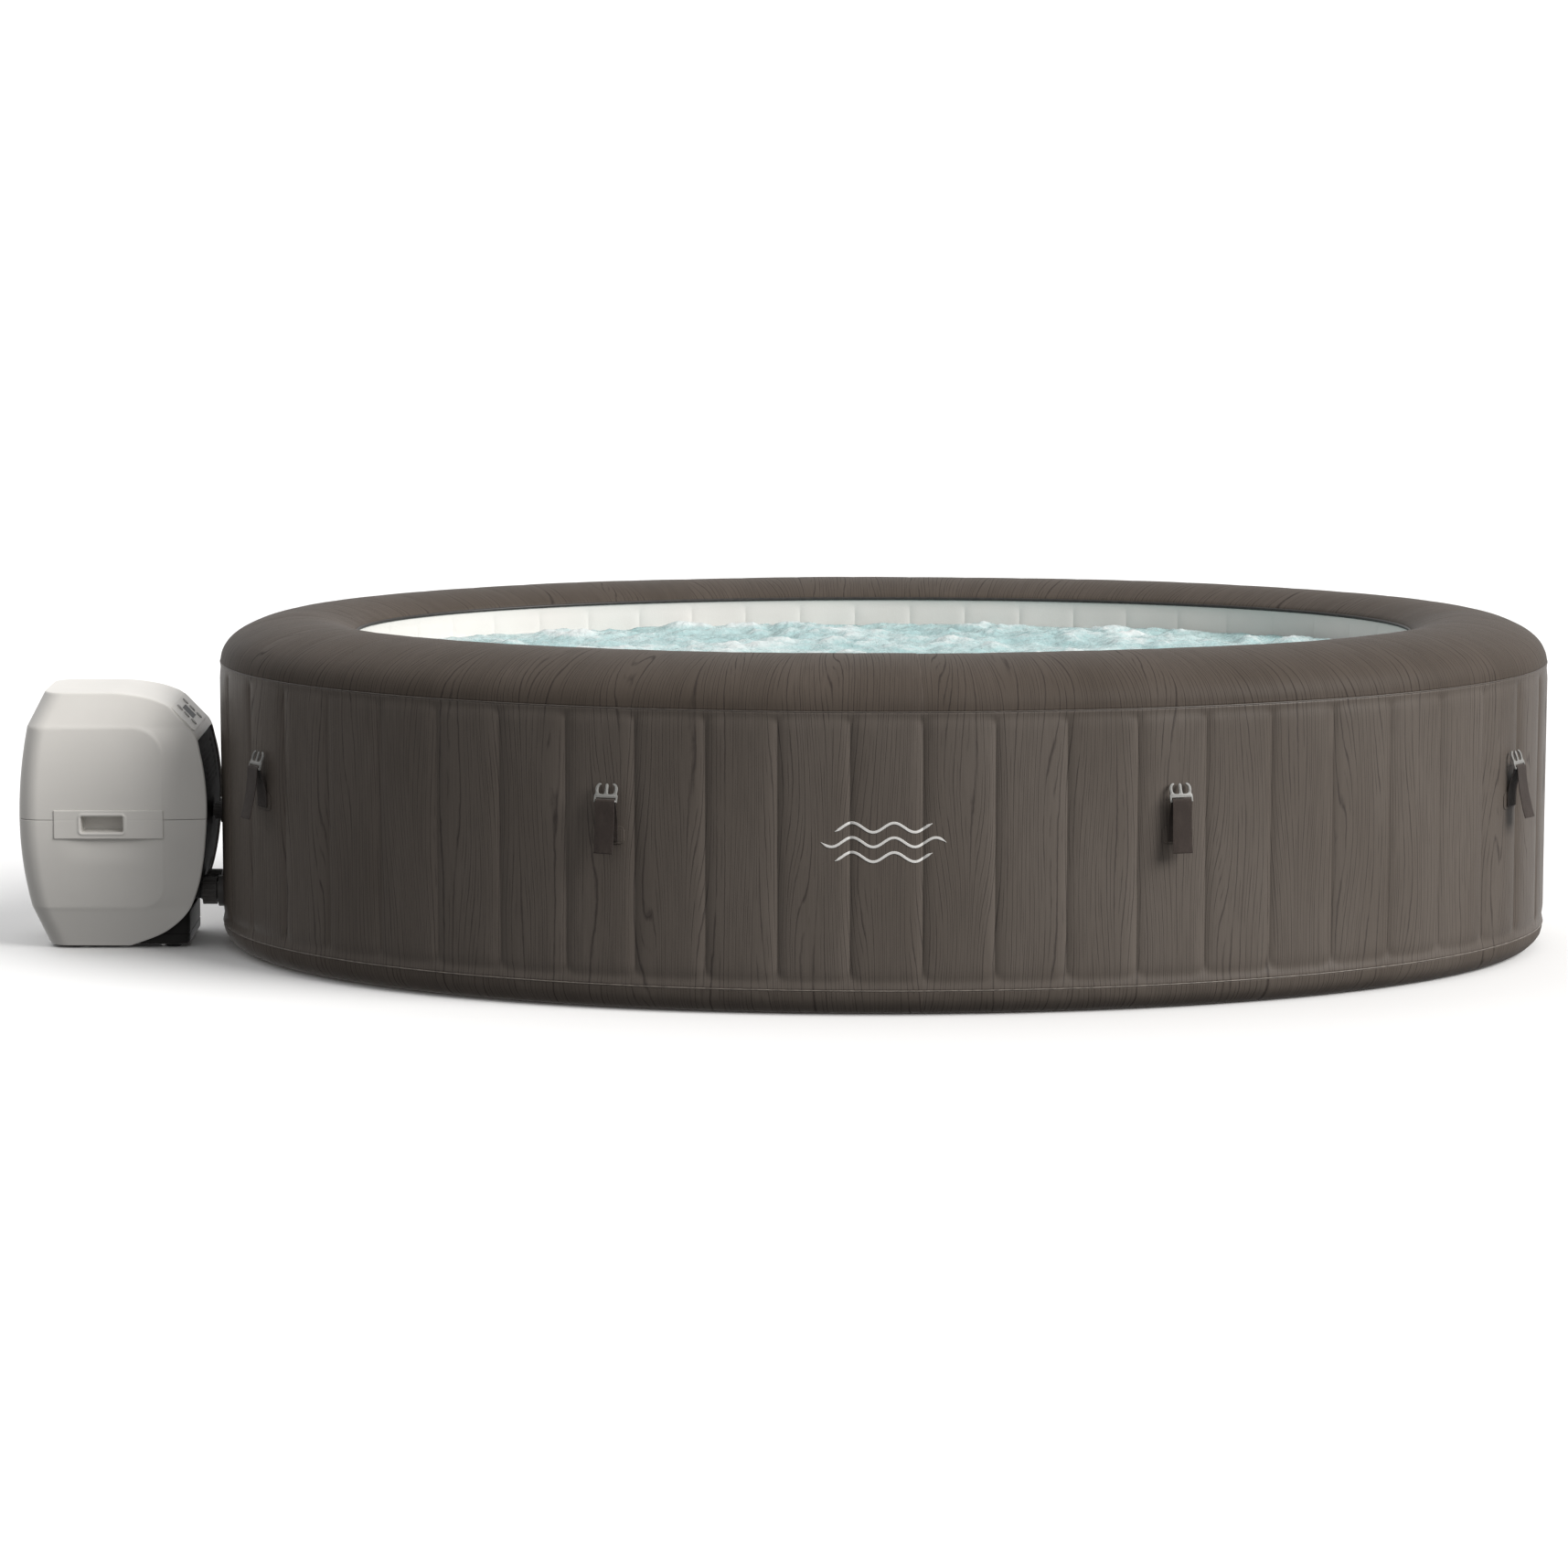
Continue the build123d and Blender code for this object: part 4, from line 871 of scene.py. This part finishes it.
CASE = moulded("casing_plastic", (0.725, 0.705, 0.670), 0.46, 0.018, 700.0, 0.00010, 0.42, 5.0)
# the port cover's own dark plastic, made darker still as painted shade cast by the tub
PORT_DARK_AND_SHADE = moulded("dark_plastic_and_painted_shade", (0.028, 0.0265, 0.025), 0.66, 0.12, 800.0, 0.00016, 0.02, 12.0)
give(case_up, CASE); give(case_lo, CASE)
for o in grip_objs:
    give(o, CASE)

# ================================================================ dark recessed panel on the tub side: dark plastic, darker still as painted shade
def port_cover():
    # the dark cover runs up to z .4285; its top band is painted shade laid over what is casing grey in the tub's shade
    pts = arch_line[arch_line[:, 1] < .4285]
    tg = np.gradient(pts, axis=0)
    tg /= np.linalg.norm(tg, axis=1)[:, None]
    nrm = np.stack([-tg[:, 1], tg[:, 0]], 1)
    k = np.unique(np.round(np.concatenate([np.linspace(-1, 1, 61), [-.995, .995, -.985, .985]]), 5))
    D = face_depth(pts[:, 0], pts[:, 1]) - .0036
    dep = np.full((len(pts), len(k)), -.0034)
    yy = D[:, None] * k[None, :]
    zz_ = pts[:, 1][:, None]
    # louvres over the air intake, and a shallow tray round the water ports
    lou = (1 - smooth(np.abs(yy), .088, .094)) * smooth(zz_, .318, .324) * (1 - smooth(zz_, .408, .414))
    dep = dep - .0022 * lou * (0.5 + 0.5 * np.cos(2 * np.pi * (zz_ - .318) / .012))
    tray = (1 - smooth(np.abs(yy), .104, .108)) * smooth(zz_, .060, .064) * (1 - smooth(zz_, .152, .156))
    dep = dep - .0020 * tray
    ring_ = (1 - smooth(np.hypot(yy, zz_ - .265), .026, .029))
    dep = dep + .0016 * ring_
    P_ = np.zeros(yy.shape + (3,))
    P_[..., 0] = pts[:, 0][:, None] + nrm[:, 0][:, None] * dep
    P_[..., 2] = np.maximum(pts[:, 1][:, None] + nrm[:, 1][:, None] * dep, .0052)
    P_[..., 1] = yy
    n1, n2 = yy.shape
    idx = np.arange(n1 * n2).reshape(n1, n2)
    F = np.stack([idx[:-1, :-1], idx[1:, :-1], idx[1:, 1:], idx[:-1, 1:]], -1).reshape(-1, 4)
    o = new_mesh("port_panel_cover", P_.reshape(-1, 3), F)
    bm = bmesh.new(); bm.from_mesh(o.data)
    if sum(f.normal.x * f.calc_area() for f in bm.faces) < 0:
        bmesh.ops.reverse_faces(bm, faces=bm.faces)
    bm.to_mesh(o.data); bm.free()
    solidify(o, 0.0025)
    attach(o, "spa"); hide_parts("port_panel")
    return o


def rounded_rect(x0, x1, hy, r, inset=0.0, n=7):
    x0, x1, hy = x0 + inset, x1 - inset, hy - inset
    r = max(r - inset, .002)
    out = []
    for cx_, cy_, a in ((x1 - r, hy - r, 0), (x0 + r, hy - r, 90), (x0 + r, -hy + r, 180), (x1 - r, -hy + r, 270)):
        for i in range(n):
            q = math.radians(a + 90 * i / (n - 1))
            out.append((cx_ + r * math.cos(q), cy_ + r * math.sin(q)))
    return out


def stack(name, rings, cap_first=True, cap_last=True):
    verts, faces = [], []
    n = len(rings[0])
    for r in rings:
        verts += r
    for k in range(len(rings) - 1):
        for i in range(n):
            j = (i + 1) % n
            faces.append((k * n + i, k * n + j, (k + 1) * n + j, (k + 1) * n + i))
    if cap_first:
        faces.append(tuple(range(n))[::-1])
    if cap_last:
        faces.append(tuple((len(rings) - 1) * n + i for i in range(n)))
    o = new_mesh(name, verts, faces)
    bm = bmesh.new(); bm.from_mesh(o.data)
    bmesh.ops.recalc_face_normals(bm, faces=bm.faces)
    for e in bm.edges:
        if len(e.link_faces) == 2 and e.calc_face_angle(0) > math.radians(38):
            e.smooth = False
    bm.to_mesh(o.data); bm.free()
    return o


def tray_piece():
    prof = [(.0062, .0050), (.0072, .0022), (.0100, .0006), (.0140, 0), (.0270, 0), (.0276, .0012), (.0300, .0012), (.0306, 0),
            (.0650, 0), (.0690, .0008), (.0700, .0020), (.0694, .0034), (.0600, .0036), (.0120, .0036), (.0095, .0050)]
    rings = []
    for z, i in prof:
        rings.append([(x, y, z) for x, y in rounded_rect(-1.668, -1.4115, .112, .016, i)])
    o = stack("base_tray_moulding", rings)
    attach(o, "spa"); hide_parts("base_tray")
    return o


port_obj = port_cover()
tray_obj = tray_piece()
give(port_obj, PORT_DARK_AND_SHADE)
give(tray_obj, moulded("plinth_plastic", (0.024, 0.023, 0.022), 0.62, 0.12, 700.0, 0.0002, 0.12, 14.0))

# ================================================================ straps and buckles
STRAP_T = [24, 66.5, 113.5, 156, -156, -113.5, -66.5, -24]
CENTRE = np.array([(3.5, 326), (3.5, 337), (3.6, 349), (5.0, 362), (8, 376), (12.3, 389.5), (16.1, 401.5), (16.55, 405.6), (18.3, 407.9),
                   (20.0, 408.35), (21.7, 407.9), (23.45, 405.6), (24.0, 401.5), (25.0, 390.0), (26.5, 378), (29.3, 361.0), (33, 345),
                   (38.0, 325.5), (44, 306)]) / 1000.0


def wall_frame(tdeg):
    t = math.radians(tdeg)
    n = np.array([B * math.cos(t), A * math.sin(t)])
    n /= np.linalg.norm(n)
    return np.array([A * math.cos(t), B * math.sin(t)]), n, np.array([-n[1], n[0]])


def strap_piece(k, tdeg):
    o2, n, w = wall_frame(tdeg)
    d = np.concatenate([[0], np.cumsum(np.hypot(*np.diff(CENTRE, axis=0).T))])
    q = np.linspace(0, d[-1], 90)
    cu, cz_ = cubic(q, d, CENTRE[:, 0]), cubic(q, d, CENTRE[:, 1])
    tail = smooth(q, d[-1] * .55, d[-1])
    # each tail hangs a little differently
    tw = (0.020 + 0.012 * math.sin(k * 2.3)) * tail
    sway = 0.0016 * math.sin(k * 1.7) * tail
    ws = np.array([-19.0, -18.7, -17.6, -15.5, -12, -8, -4, 0, 4, 8, 12, 15.5, 17.6, 18.7, 19.0]) / 1000.0
    P_ = np.zeros((len(q), len(ws), 3))
    if k in (2, 3, 6, 7):        # the straps on the long sides hang closer to the wall
        cu = cu - np.maximum(cu - .0238, 0) * 0.5 * smooth(q, .0947, .118)
    uu = cu[:, None] + tw[:, None] * ws[None, :] * 3.0 - tail[:, None] * 0.0011 * (ws[None, :] / .019) ** 2
    uu = uu - 0.00012 * tail[:, None] + 0.00006 * noise2(q[:, None] * 60 + k * 9, ws[None, :] * 90) * smooth(q, d[-1] * .5, d[-1] * .65)[:, None]
    wv = ws[None, :] + sway[:, None]
    P_[..., 0] = o2[0] + n[0] * uu + w[0] * wv
    P_[..., 1] = o2[1] + n[1] * uu + w[1] * wv
    P_[..., 2] = cz_[:, None]
    n1, n2 = uu.shape
    idx = np.arange(n1 * n2).reshape(n1, n2)
    F = np.stack([idx[:-1, :-1], idx[1:, :-1], idx[1:, 1:], idx[:-1, 1:]], -1).reshape(-1, 4)
    qq, wq = np.broadcast_to(q[:, None], uu.shape).ravel(), np.broadcast_to(ws[None, :], uu.shape).ravel()
    uv = np.stack([wq[F], qq[F]], -1).reshape(-1, 2)
    o = new_mesh("strap_%d_webbing" % k, P_.reshape(-1, 3), F, uv)
    m = solidify(o, 0.00135, 0.0)
    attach(o, "spa"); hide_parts("strap_%d" % k)
    return o


def outline_mesh(name, pts, thick, bev, place, seg=2):
    """Flat outline (w, p) in metres, given thickness with rounded edges, laid out by place(w, p, h)."""
    cu = bpy.data.curves.new(name + "_line", "CURVE")
    cu.dimensions = "2D"
    cu.fill_mode = "BOTH"
    s = cu.splines.new("POLY")
    s.points.add(len(pts) - 1)
    for p_, (x, y) in zip(s.points, pts):
        p_.co = (x, y, 0, 1)
    s.use_cyclic_u = True
    cu.extrude = thick / 2 - bev
    cu.bevel_depth = bev
    cu.bevel_resolution = seg
    cu.offset = -bev
    tmp = bpy.data.objects.new(name + "_tmp", cu)
    COLL.objects.link(tmp)
    bpy.context.view_layer.update()
    me = bpy.data.meshes.new_from_object(tmp.evaluated_get(bpy.context.evaluated_depsgraph_get()))
    bpy.data.objects.remove(tmp)
    bpy.data.curves.remove(cu)
    bm = bmesh.new(); bm.from_mesh(me)
    bmesh.ops.remove_doubles(bm, verts=bm.verts, dist=2e-5)
    for v_ in bm.verts:
        v_.co = place(v_.co.x, v_.co.y, v_.co.z)
    bmesh.ops.recalc_face_normals(bm, faces=bm.faces)
    for e in bm.edges:
        if len(e.link_faces) == 2 and e.calc_face_angle(0) > math.radians(42):
            e.smooth = False
    bm.to_mesh(me); bm.free()
    me.polygons.foreach_set("use_smooth", [True] * len(me.polygons))
    return me


def curve_pts(pts, n):
    pts = np.array(pts, float)
    d = np.concatenate([[0], np.cumsum(np.hypot(*np.diff(pts, axis=0).T))])
    q = np.linspace(0, d[-1], n)
    return np.stack([cubic(q, d, pts[:, 0]), cubic(q, d, pts[:, 1])], 1)


# right half of the outline, from the foot of the side arm round to the middle prong's tip (mm)
arm_ = [(19.6, -2.3), (22.9, -2.3), (23.0, 9.5), (22.7, 11.6), (21.6, 13.2)]
claw_out = curve_pts([(21.0, 13.9), (21.3, 18.0), (21.9, 22.5), (21.4, 27.0), (19.3, 31.2), (16.2, 34.0), (13.2, 34.9), (11.4, 33.6)], 16)
claw_in = curve_pts([(11.2, 32.0), (13.4, 30.8), (15.2, 28.2), (16.2, 24.6), (16.2, 20.5), (15.2, 16.6), (13.0, 14.4), (9.0, 13.6), (5.2, 13.5)], 18)
post = curve_pts([(3.6, 14.6), (3.1, 18.0), (2.9, 25.0), (2.9, 30.5), (2.3, 32.8), (0.9, 34.0)], 9)
half = [tuple(p) for p in arm_] + [tuple(p) for p in claw_out] + [tuple(p) for p in claw_in] + [tuple(p) for p in post]
full = half + [(-x, y) for x, y in half[::-1]] + [(-19.6, 6.5), (19.6, 6.5)]
FULL = [(x / 1000.0, y / 1000.0) for x, y in full]


def buckle_piece(k, tdeg):
    o2, n, w = wall_frame(tdeg)
    a = math.radians(21)

    def place(x, p, h):
        u_ = .020 - p * math.sin(a) + h * math.cos(a)
        z_ = .4045 + p * math.cos(a) + h * math.sin(a)
        return (o2[0] + n[0] * u_ + w[0] * x, o2[1] + n[1] * u_ + w[1] * x, z_)
    me = outline_mesh("buckle_%d_trident" % k, FULL, .0035, .0007, place)
    o = link(bpy.data.objects.new("buckle_%d_trident" % k, me))
    bm = bmesh.new(); bm.from_mesh(me)

    def solid(sections):
        """Closed tube through rings of (x, p, h) points."""
        rings = [[bm.verts.new(place(*q)) for q in r] for r in sections]
        m_ = len(rings[0])
        fs = []
        for r0_, r1_ in zip(rings[:-1], rings[1:]):
            for i in range(m_):
                fs.append(bm.faces.new((r0_[i], r0_[(i + 1) % m_], r1_[(i + 1) % m_], r1_[i])))
        fs.append(bm.faces.new(rings[0][::-1])); fs.append(bm.faces.new(rings[-1]))
        bmesh.ops.recalc_face_normals(bm, faces=fs)
        for f_ in fs:
            f_.smooth = True
    circ = [(math.cos(2 * math.pi * i / 16), math.sin(2 * math.pi * i / 16)) for i in range(16)]
    # bar that the webbing goes round
    solid([[(x, .0023 * c, .0023 * s) for c, s in circ] for x in np.linspace(-.0212, .0212, 5)])
    # half-round rib up the middle prong and raised ridges on the claws, both faces
    for sg in (1, -1):
        solid([[(.0014 * c * f, p, sg * (.0014 + .0009 * max(s, -.6) * f)) for c, s in circ]
               for p, f in ((.0140, .35), (.0146, .8), (.0156, 1), (.0290, 1), (.0305, .8), (.0312, .35))])
        for sx in (1, -1):
            rid = curve_pts([(18.4, 15.0), (18.9, 22.0), (18.0, 27.5), (15.6, 31.2)], 8) / 1000.0
            solid([[(sx * (x + .0008 * c * f), p, sg * (.0014 + .0009 * max(s, -.6) * f)) for c, s in circ]
                   for (x, p), f in zip(rid, (.4, .9, 1, 1, 1, 1, .9, .4))])
        # step along the cross piece
        solid([[(x, .0098 + .0018 * c * f, sg * (.0014 + .00075 * max(s, -.6) * f)) for c, s in circ]
               for x, f in ((-.0195, .3), (-.0188, .9), (-.0178, 1), (.0178, 1), (.0188, .9), (.0195, .3))])
    bm.to_mesh(me); bm.free()
    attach(o, "buckle_%d" % k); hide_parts("buckle_%d" % k)
    return o


def anchor_piece(k, tdeg):
    """Welded patch under each strap, lying on the wall."""
    s0 = s_of(tdeg)
    a = np.linspace(-.031, .031, 45)
    b = np.linspace(.321, .355, 26)
    X_, Z_ = np.meshgrid(a, b, indexing="ij")
    qx, qz = np.abs(X_) - (.031 - .006), np.abs(Z_ - .338) - (.017 - .006)
    d = .006 - np.hypot(np.maximum(qx, 0), np.maximum(qz, 0)) - np.minimum(np.maximum(qx, qz), 0)
    # corners are drawn in to a rounded outline
    sc = np.where(d < 0, 1 + d / np.maximum(np.hypot(qx + .006, qz + .006), 1e-4), 1.0)
    Xr = np.sign(X_) * (np.where((qx > 0) & (qz > 0), .025 + qx * sc * .72, np.abs(X_)))
    Zr = .338 + np.sign(Z_ - .338) * np.where((qx > 0) & (qz > 0), .011 + qz * sc * .72, np.abs(Z_ - .338))
    rimw = np.exp(-((np.minimum(.031 - np.abs(X_), .017 - np.abs(Z_ - .338)) - .0035) / .0011) ** 2)
    P_ = wall_point(s0 + Xr, Zr, .0013)
    # the patch follows the wall and the weld line under it; the flat copy worked out below is not used
    flat = wall_point(s0 + Xr, Zr * 0 + .338, 0.0)
    P_ += normal_at(s0 + Xr) * (-.0004 * rimw)[..., None]
    n1, n2 = X_.shape
    idx = np.arange(n1 * n2).reshape(n1, n2)
    F = np.stack([idx[:-1, :-1], idx[1:, :-1], idx[1:, 1:], idx[:-1, 1:]], -1).reshape(-1, 4)
    uv = np.stack([(s0 + Xr).ravel()[F], (Zr - Z_BOT).ravel()[F]], -1).reshape(-1, 2)
    o = new_mesh("strap_anchor_%d" % k, P_.reshape(-1, 3), F, uv)
    solidify(o, 0.0011)
    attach(o, "spa")
    give(o, WOOD)
    return o


def webbing_mat():
    m, nt, b = node_mat("webbing_weave")
    g = G(nt)
    uvn = g.n("ShaderNodeUVMap"); uvn.uv_map = "grain"
    sp_ = g.n("ShaderNodeSeparateXYZ"); nt.links.new(uvn.outputs[0], sp_.inputs[0])
    u_, v_ = sp_.outputs[0], sp_.outputs[1]
    TAU = 2 * math.pi
    warp = g.math("SINE", g.math("MULTIPLY", u_, TAU / .0021))
    rib = g.math("ABSOLUTE", warp)
    wf = g.math("SINE", g.math("ADD", g.math("MULTIPLY", v_, TAU / .0017), g.math("MULTIPLY", g.math("SIGN", warp), 1.57)))
    weave = g.math("ADD", g.math("MULTIPLY", rib, 0.6), g.math("MULTIPLY", wf, 0.25))
    fuzz = g.noise(g.vec(g.math("MULTIPLY", u_, 2600.0), g.math("MULTIPLY", v_, 900.0), 1.0), 1.0, 2.0, 0.6)
    tone = g.noise(g.vec(g.math("MULTIPLY", u_, 60.0), g.math("MULTIPLY", v_, 25.0), 3.0), 1.0, 3.0, 0.6)
    c = g.mix(g.math("ADD", 0.35, g.math("MULTIPLY", weave, 0.6), clamp=True), (0.020, 0.0145, 0.012), (0.060, 0.044, 0.037))
    c = g.mix(g.math("MULTIPLY", g.step(tone, 0.45, 0.75), 0.35), c, (0.075, 0.057, 0.048))
    c = g.mix(g.math("MULTIPLY", g.step(fuzz, 0.6, 0.8), 0.25), c, (0.09, 0.072, 0.062))
    nt.links.new(c, b.inputs["Base Color"])
    b.inputs["Roughness"].default_value = 0.78
    b.inputs["Specular IOR Level"].default_value = 0.25
    b.inputs["Sheen Weight"].default_value = 0.15
    nt.links.new(g.bump(g.math("ADD", weave, g.math("MULTIPLY", fuzz, 0.3)), 0.0004, 0.9), b.inputs["Normal"])
    return m


WEB = webbing_mat()
BUCK = moulded("buckle_nylon", (0.240, 0.238, 0.226), 0.40, 0.06, 1200.0, 0.0001, 0.5, 40.0)
anchors = []
for k, td in enumerate(STRAP_T, 1):
    give(strap_piece(k, td), WEB)
    give(buckle_piece(k, td), BUCK)
    anchors.append(anchor_piece(k, td))
for o in anchors:
    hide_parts("strap_anchors")

# ================================================================ plain wave motif on the front
def wave_ribbon(idx_, x_mid, z_mid, half_w, width, amp, waves, phase):
    s_mid = s_of(math.degrees(math.atan2(-math.sqrt(1 - (x_mid / A) ** 2), x_mid / A)))
    q = np.linspace(-1, 1, 161)
    s_ = s_mid + q * half_w
    zc = z_mid + amp * np.sin(q * waves * math.pi + phase)
    dz = np.gradient(zc, s_)
    wd = width * (1 - smooth(np.abs(q), .90, 1.0) * 0.85)
    cr_ = np.linspace(-.5, .5, 7)
    nn = np.sqrt(1 + dz ** 2)
    S_ = s_[:, None] - (dz / nn * wd)[:, None] * cr_[None, :]
    Z_ = zc[:, None] + (1 / nn * wd)[:, None] * cr_[None, :]
    P_ = wall_point(S_, Z_, .00075)
    n1, n2 = S_.shape
    ids = np.arange(n1 * n2).reshape(n1, n2)
    F = np.stack([ids[:-1, :-1], ids[1:, :-1], ids[1:, 1:], ids[:-1, 1:]], -1).reshape(-1, 4)
    uv = np.stack([S_.ravel()[F], Z_.ravel()[F]], -1).reshape(-1, 2)
    o = new_mesh("wave_motif_%d" % idx_, P_.reshape(-1, 3), F, uv)
    solidify(o, 0.0005)
    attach(o, "spa")
    return o


def print_mat():
    m, nt, b = node_mat("motif_print")
    g = G(nt)
    uvn = g.n("ShaderNodeUVMap"); uvn.uv_map = "grain"
    a = g.noise(uvn.outputs[0], 300.0, 3.0, 0.6)
    nt.links.new(g.mix(g.step(a, 0.3, 0.7), (0.70, 0.69, 0.665), (0.80, 0.79, 0.77)), b.inputs["Base Color"])
    nt.links.new(g.math("ADD", 0.45, g.math("MULTIPLY", a, 0.1)), b.inputs["Roughness"])
    nt.links.new(g.bump(a, 0.0001, 0.5), b.inputs["Normal"])
    return m


MOTIF = print_mat()
for i_, (zc_, hw_) in enumerate(((.362, .092), (.334, .118), (.306, .092)), 1):
    give(wave_ribbon(i_, -.020, zc_, hw_, .0050, .0088, 3.0 if i_ == 2 else 2.34, 0.0 if i_ == 2 else 0.0), MOTIF)

# ================================================================ CAD pieces that stay, with their own surfaces
FIT = moulded("fitting_plastic", (0.085, 0.079, 0.075), 0.42, 0.10, 900.0, 0.00014, 0.45, 22.0)
NUT = moulded("union_nut_plastic", (0.095, 0.089, 0.084), 0.48, 0.12, 900.0, 0.00018, 0.42, 26.0)
VALVE = moulded("valve_plastic", (0.085, 0.074, 0.064), 0.45, 0.08, 900.0, 0.00014, 0.42, 24.0)
WHITE = moulded("filter_white", (0.74, 0.75, 0.76), 0.32, 0.03, 700.0, 0.0001, 0.5, 18.0)
FEET = moulded("foot_rubber_mat", (0.022, 0.022, 0.022), 0.85, 0.2, 500.0, 0.0004, 0.2, 30.0)
BTN = moulded("button_rubber_mat", (0.44, 0.43, 0.415), 0.66, 0.06, 1400.0, 0.00012, 0.3, 60.0)
MOTOR = moulded("motor_plastic_mat", (0.055, 0.055, 0.06), 0.5, 0.15, 600.0, 0.0003, 0.4, 18.0)
STEEL = moulded("stainless_mat", (0.60, 0.60, 0.59), 0.30, 0.06, 400.0, 0.0001, 0.5, 30.0, metal=1.0)
BOARD = moulded("board_mat", (0.02, 0.16, 0.05), 0.35, 0.2, 300.0, 0.0003, 0.5, 60.0, mottle=((0.5, 0.42, 0.2), 0.5))
HOSE = moulded("hose_rubber_mat", (0.035, 0.035, 0.035), 0.7, 0.15, 400.0, 0.0004, 0.3, 25.0)
PLEAT = moulded("filter_paper_mat", (0.70, 0.72, 0.74), 0.9, 0.05, 300.0, 0.0006, 0.1, 30.0)
GLAND = moulded("gland_mat", (0.05, 0.05, 0.05), 0.5, 0.12, 900.0, 0.0002, 0.4, 40.0)
LENS = moulded("display_lens_mat", (0.030, 0.032, 0.034), 0.42, 0.1, 60.0, 0.00002, 0.06, 12.0)
RINGV = moulded("air_ring_vinyl_mat", (0.74, 0.72, 0.68), 0.45, 0.04, 500.0, 0.0003, 0.4, 10.0)
look = {"tub_floor": CREAM, "wall_beams": CREAM, "air_ring": RINGV, "air_valve_body": VALVE, "air_valve_cap": VALVE,
        "drain_valve_body": VALVE, "drain_valve_cap": VALVE, "inlet_wall_fitting": FIT, "outlet_wall_fitting": FIT,
        "air_wall_fitting": FIT, "filter_cartridge": PLEAT, "filter_cover": WHITE, "outlet_grate": WHITE,
        "control_panel": CASE, "display_window": LENS, "rubber_feet": FEET, "casing_screws": STEEL,
        "circulation_pump_body": MOTOR, "pump_impeller": MOTOR, "heater_tube": STEEL, "blower_housing": MOTOR,
        "blower_fan": MOTOR, "control_board": BOARD, "internal_hoses": HOSE, "coupling_nut_inlet": NUT,
        "coupling_nut_outlet": NUT, "coupling_nut_air": NUT, "cable_gland": GLAND}
for nme in nodes:
    if nme.startswith("button_"):
        look[nme] = BTN
for nme, mat in look.items():
    give(nodes[nme], mat)
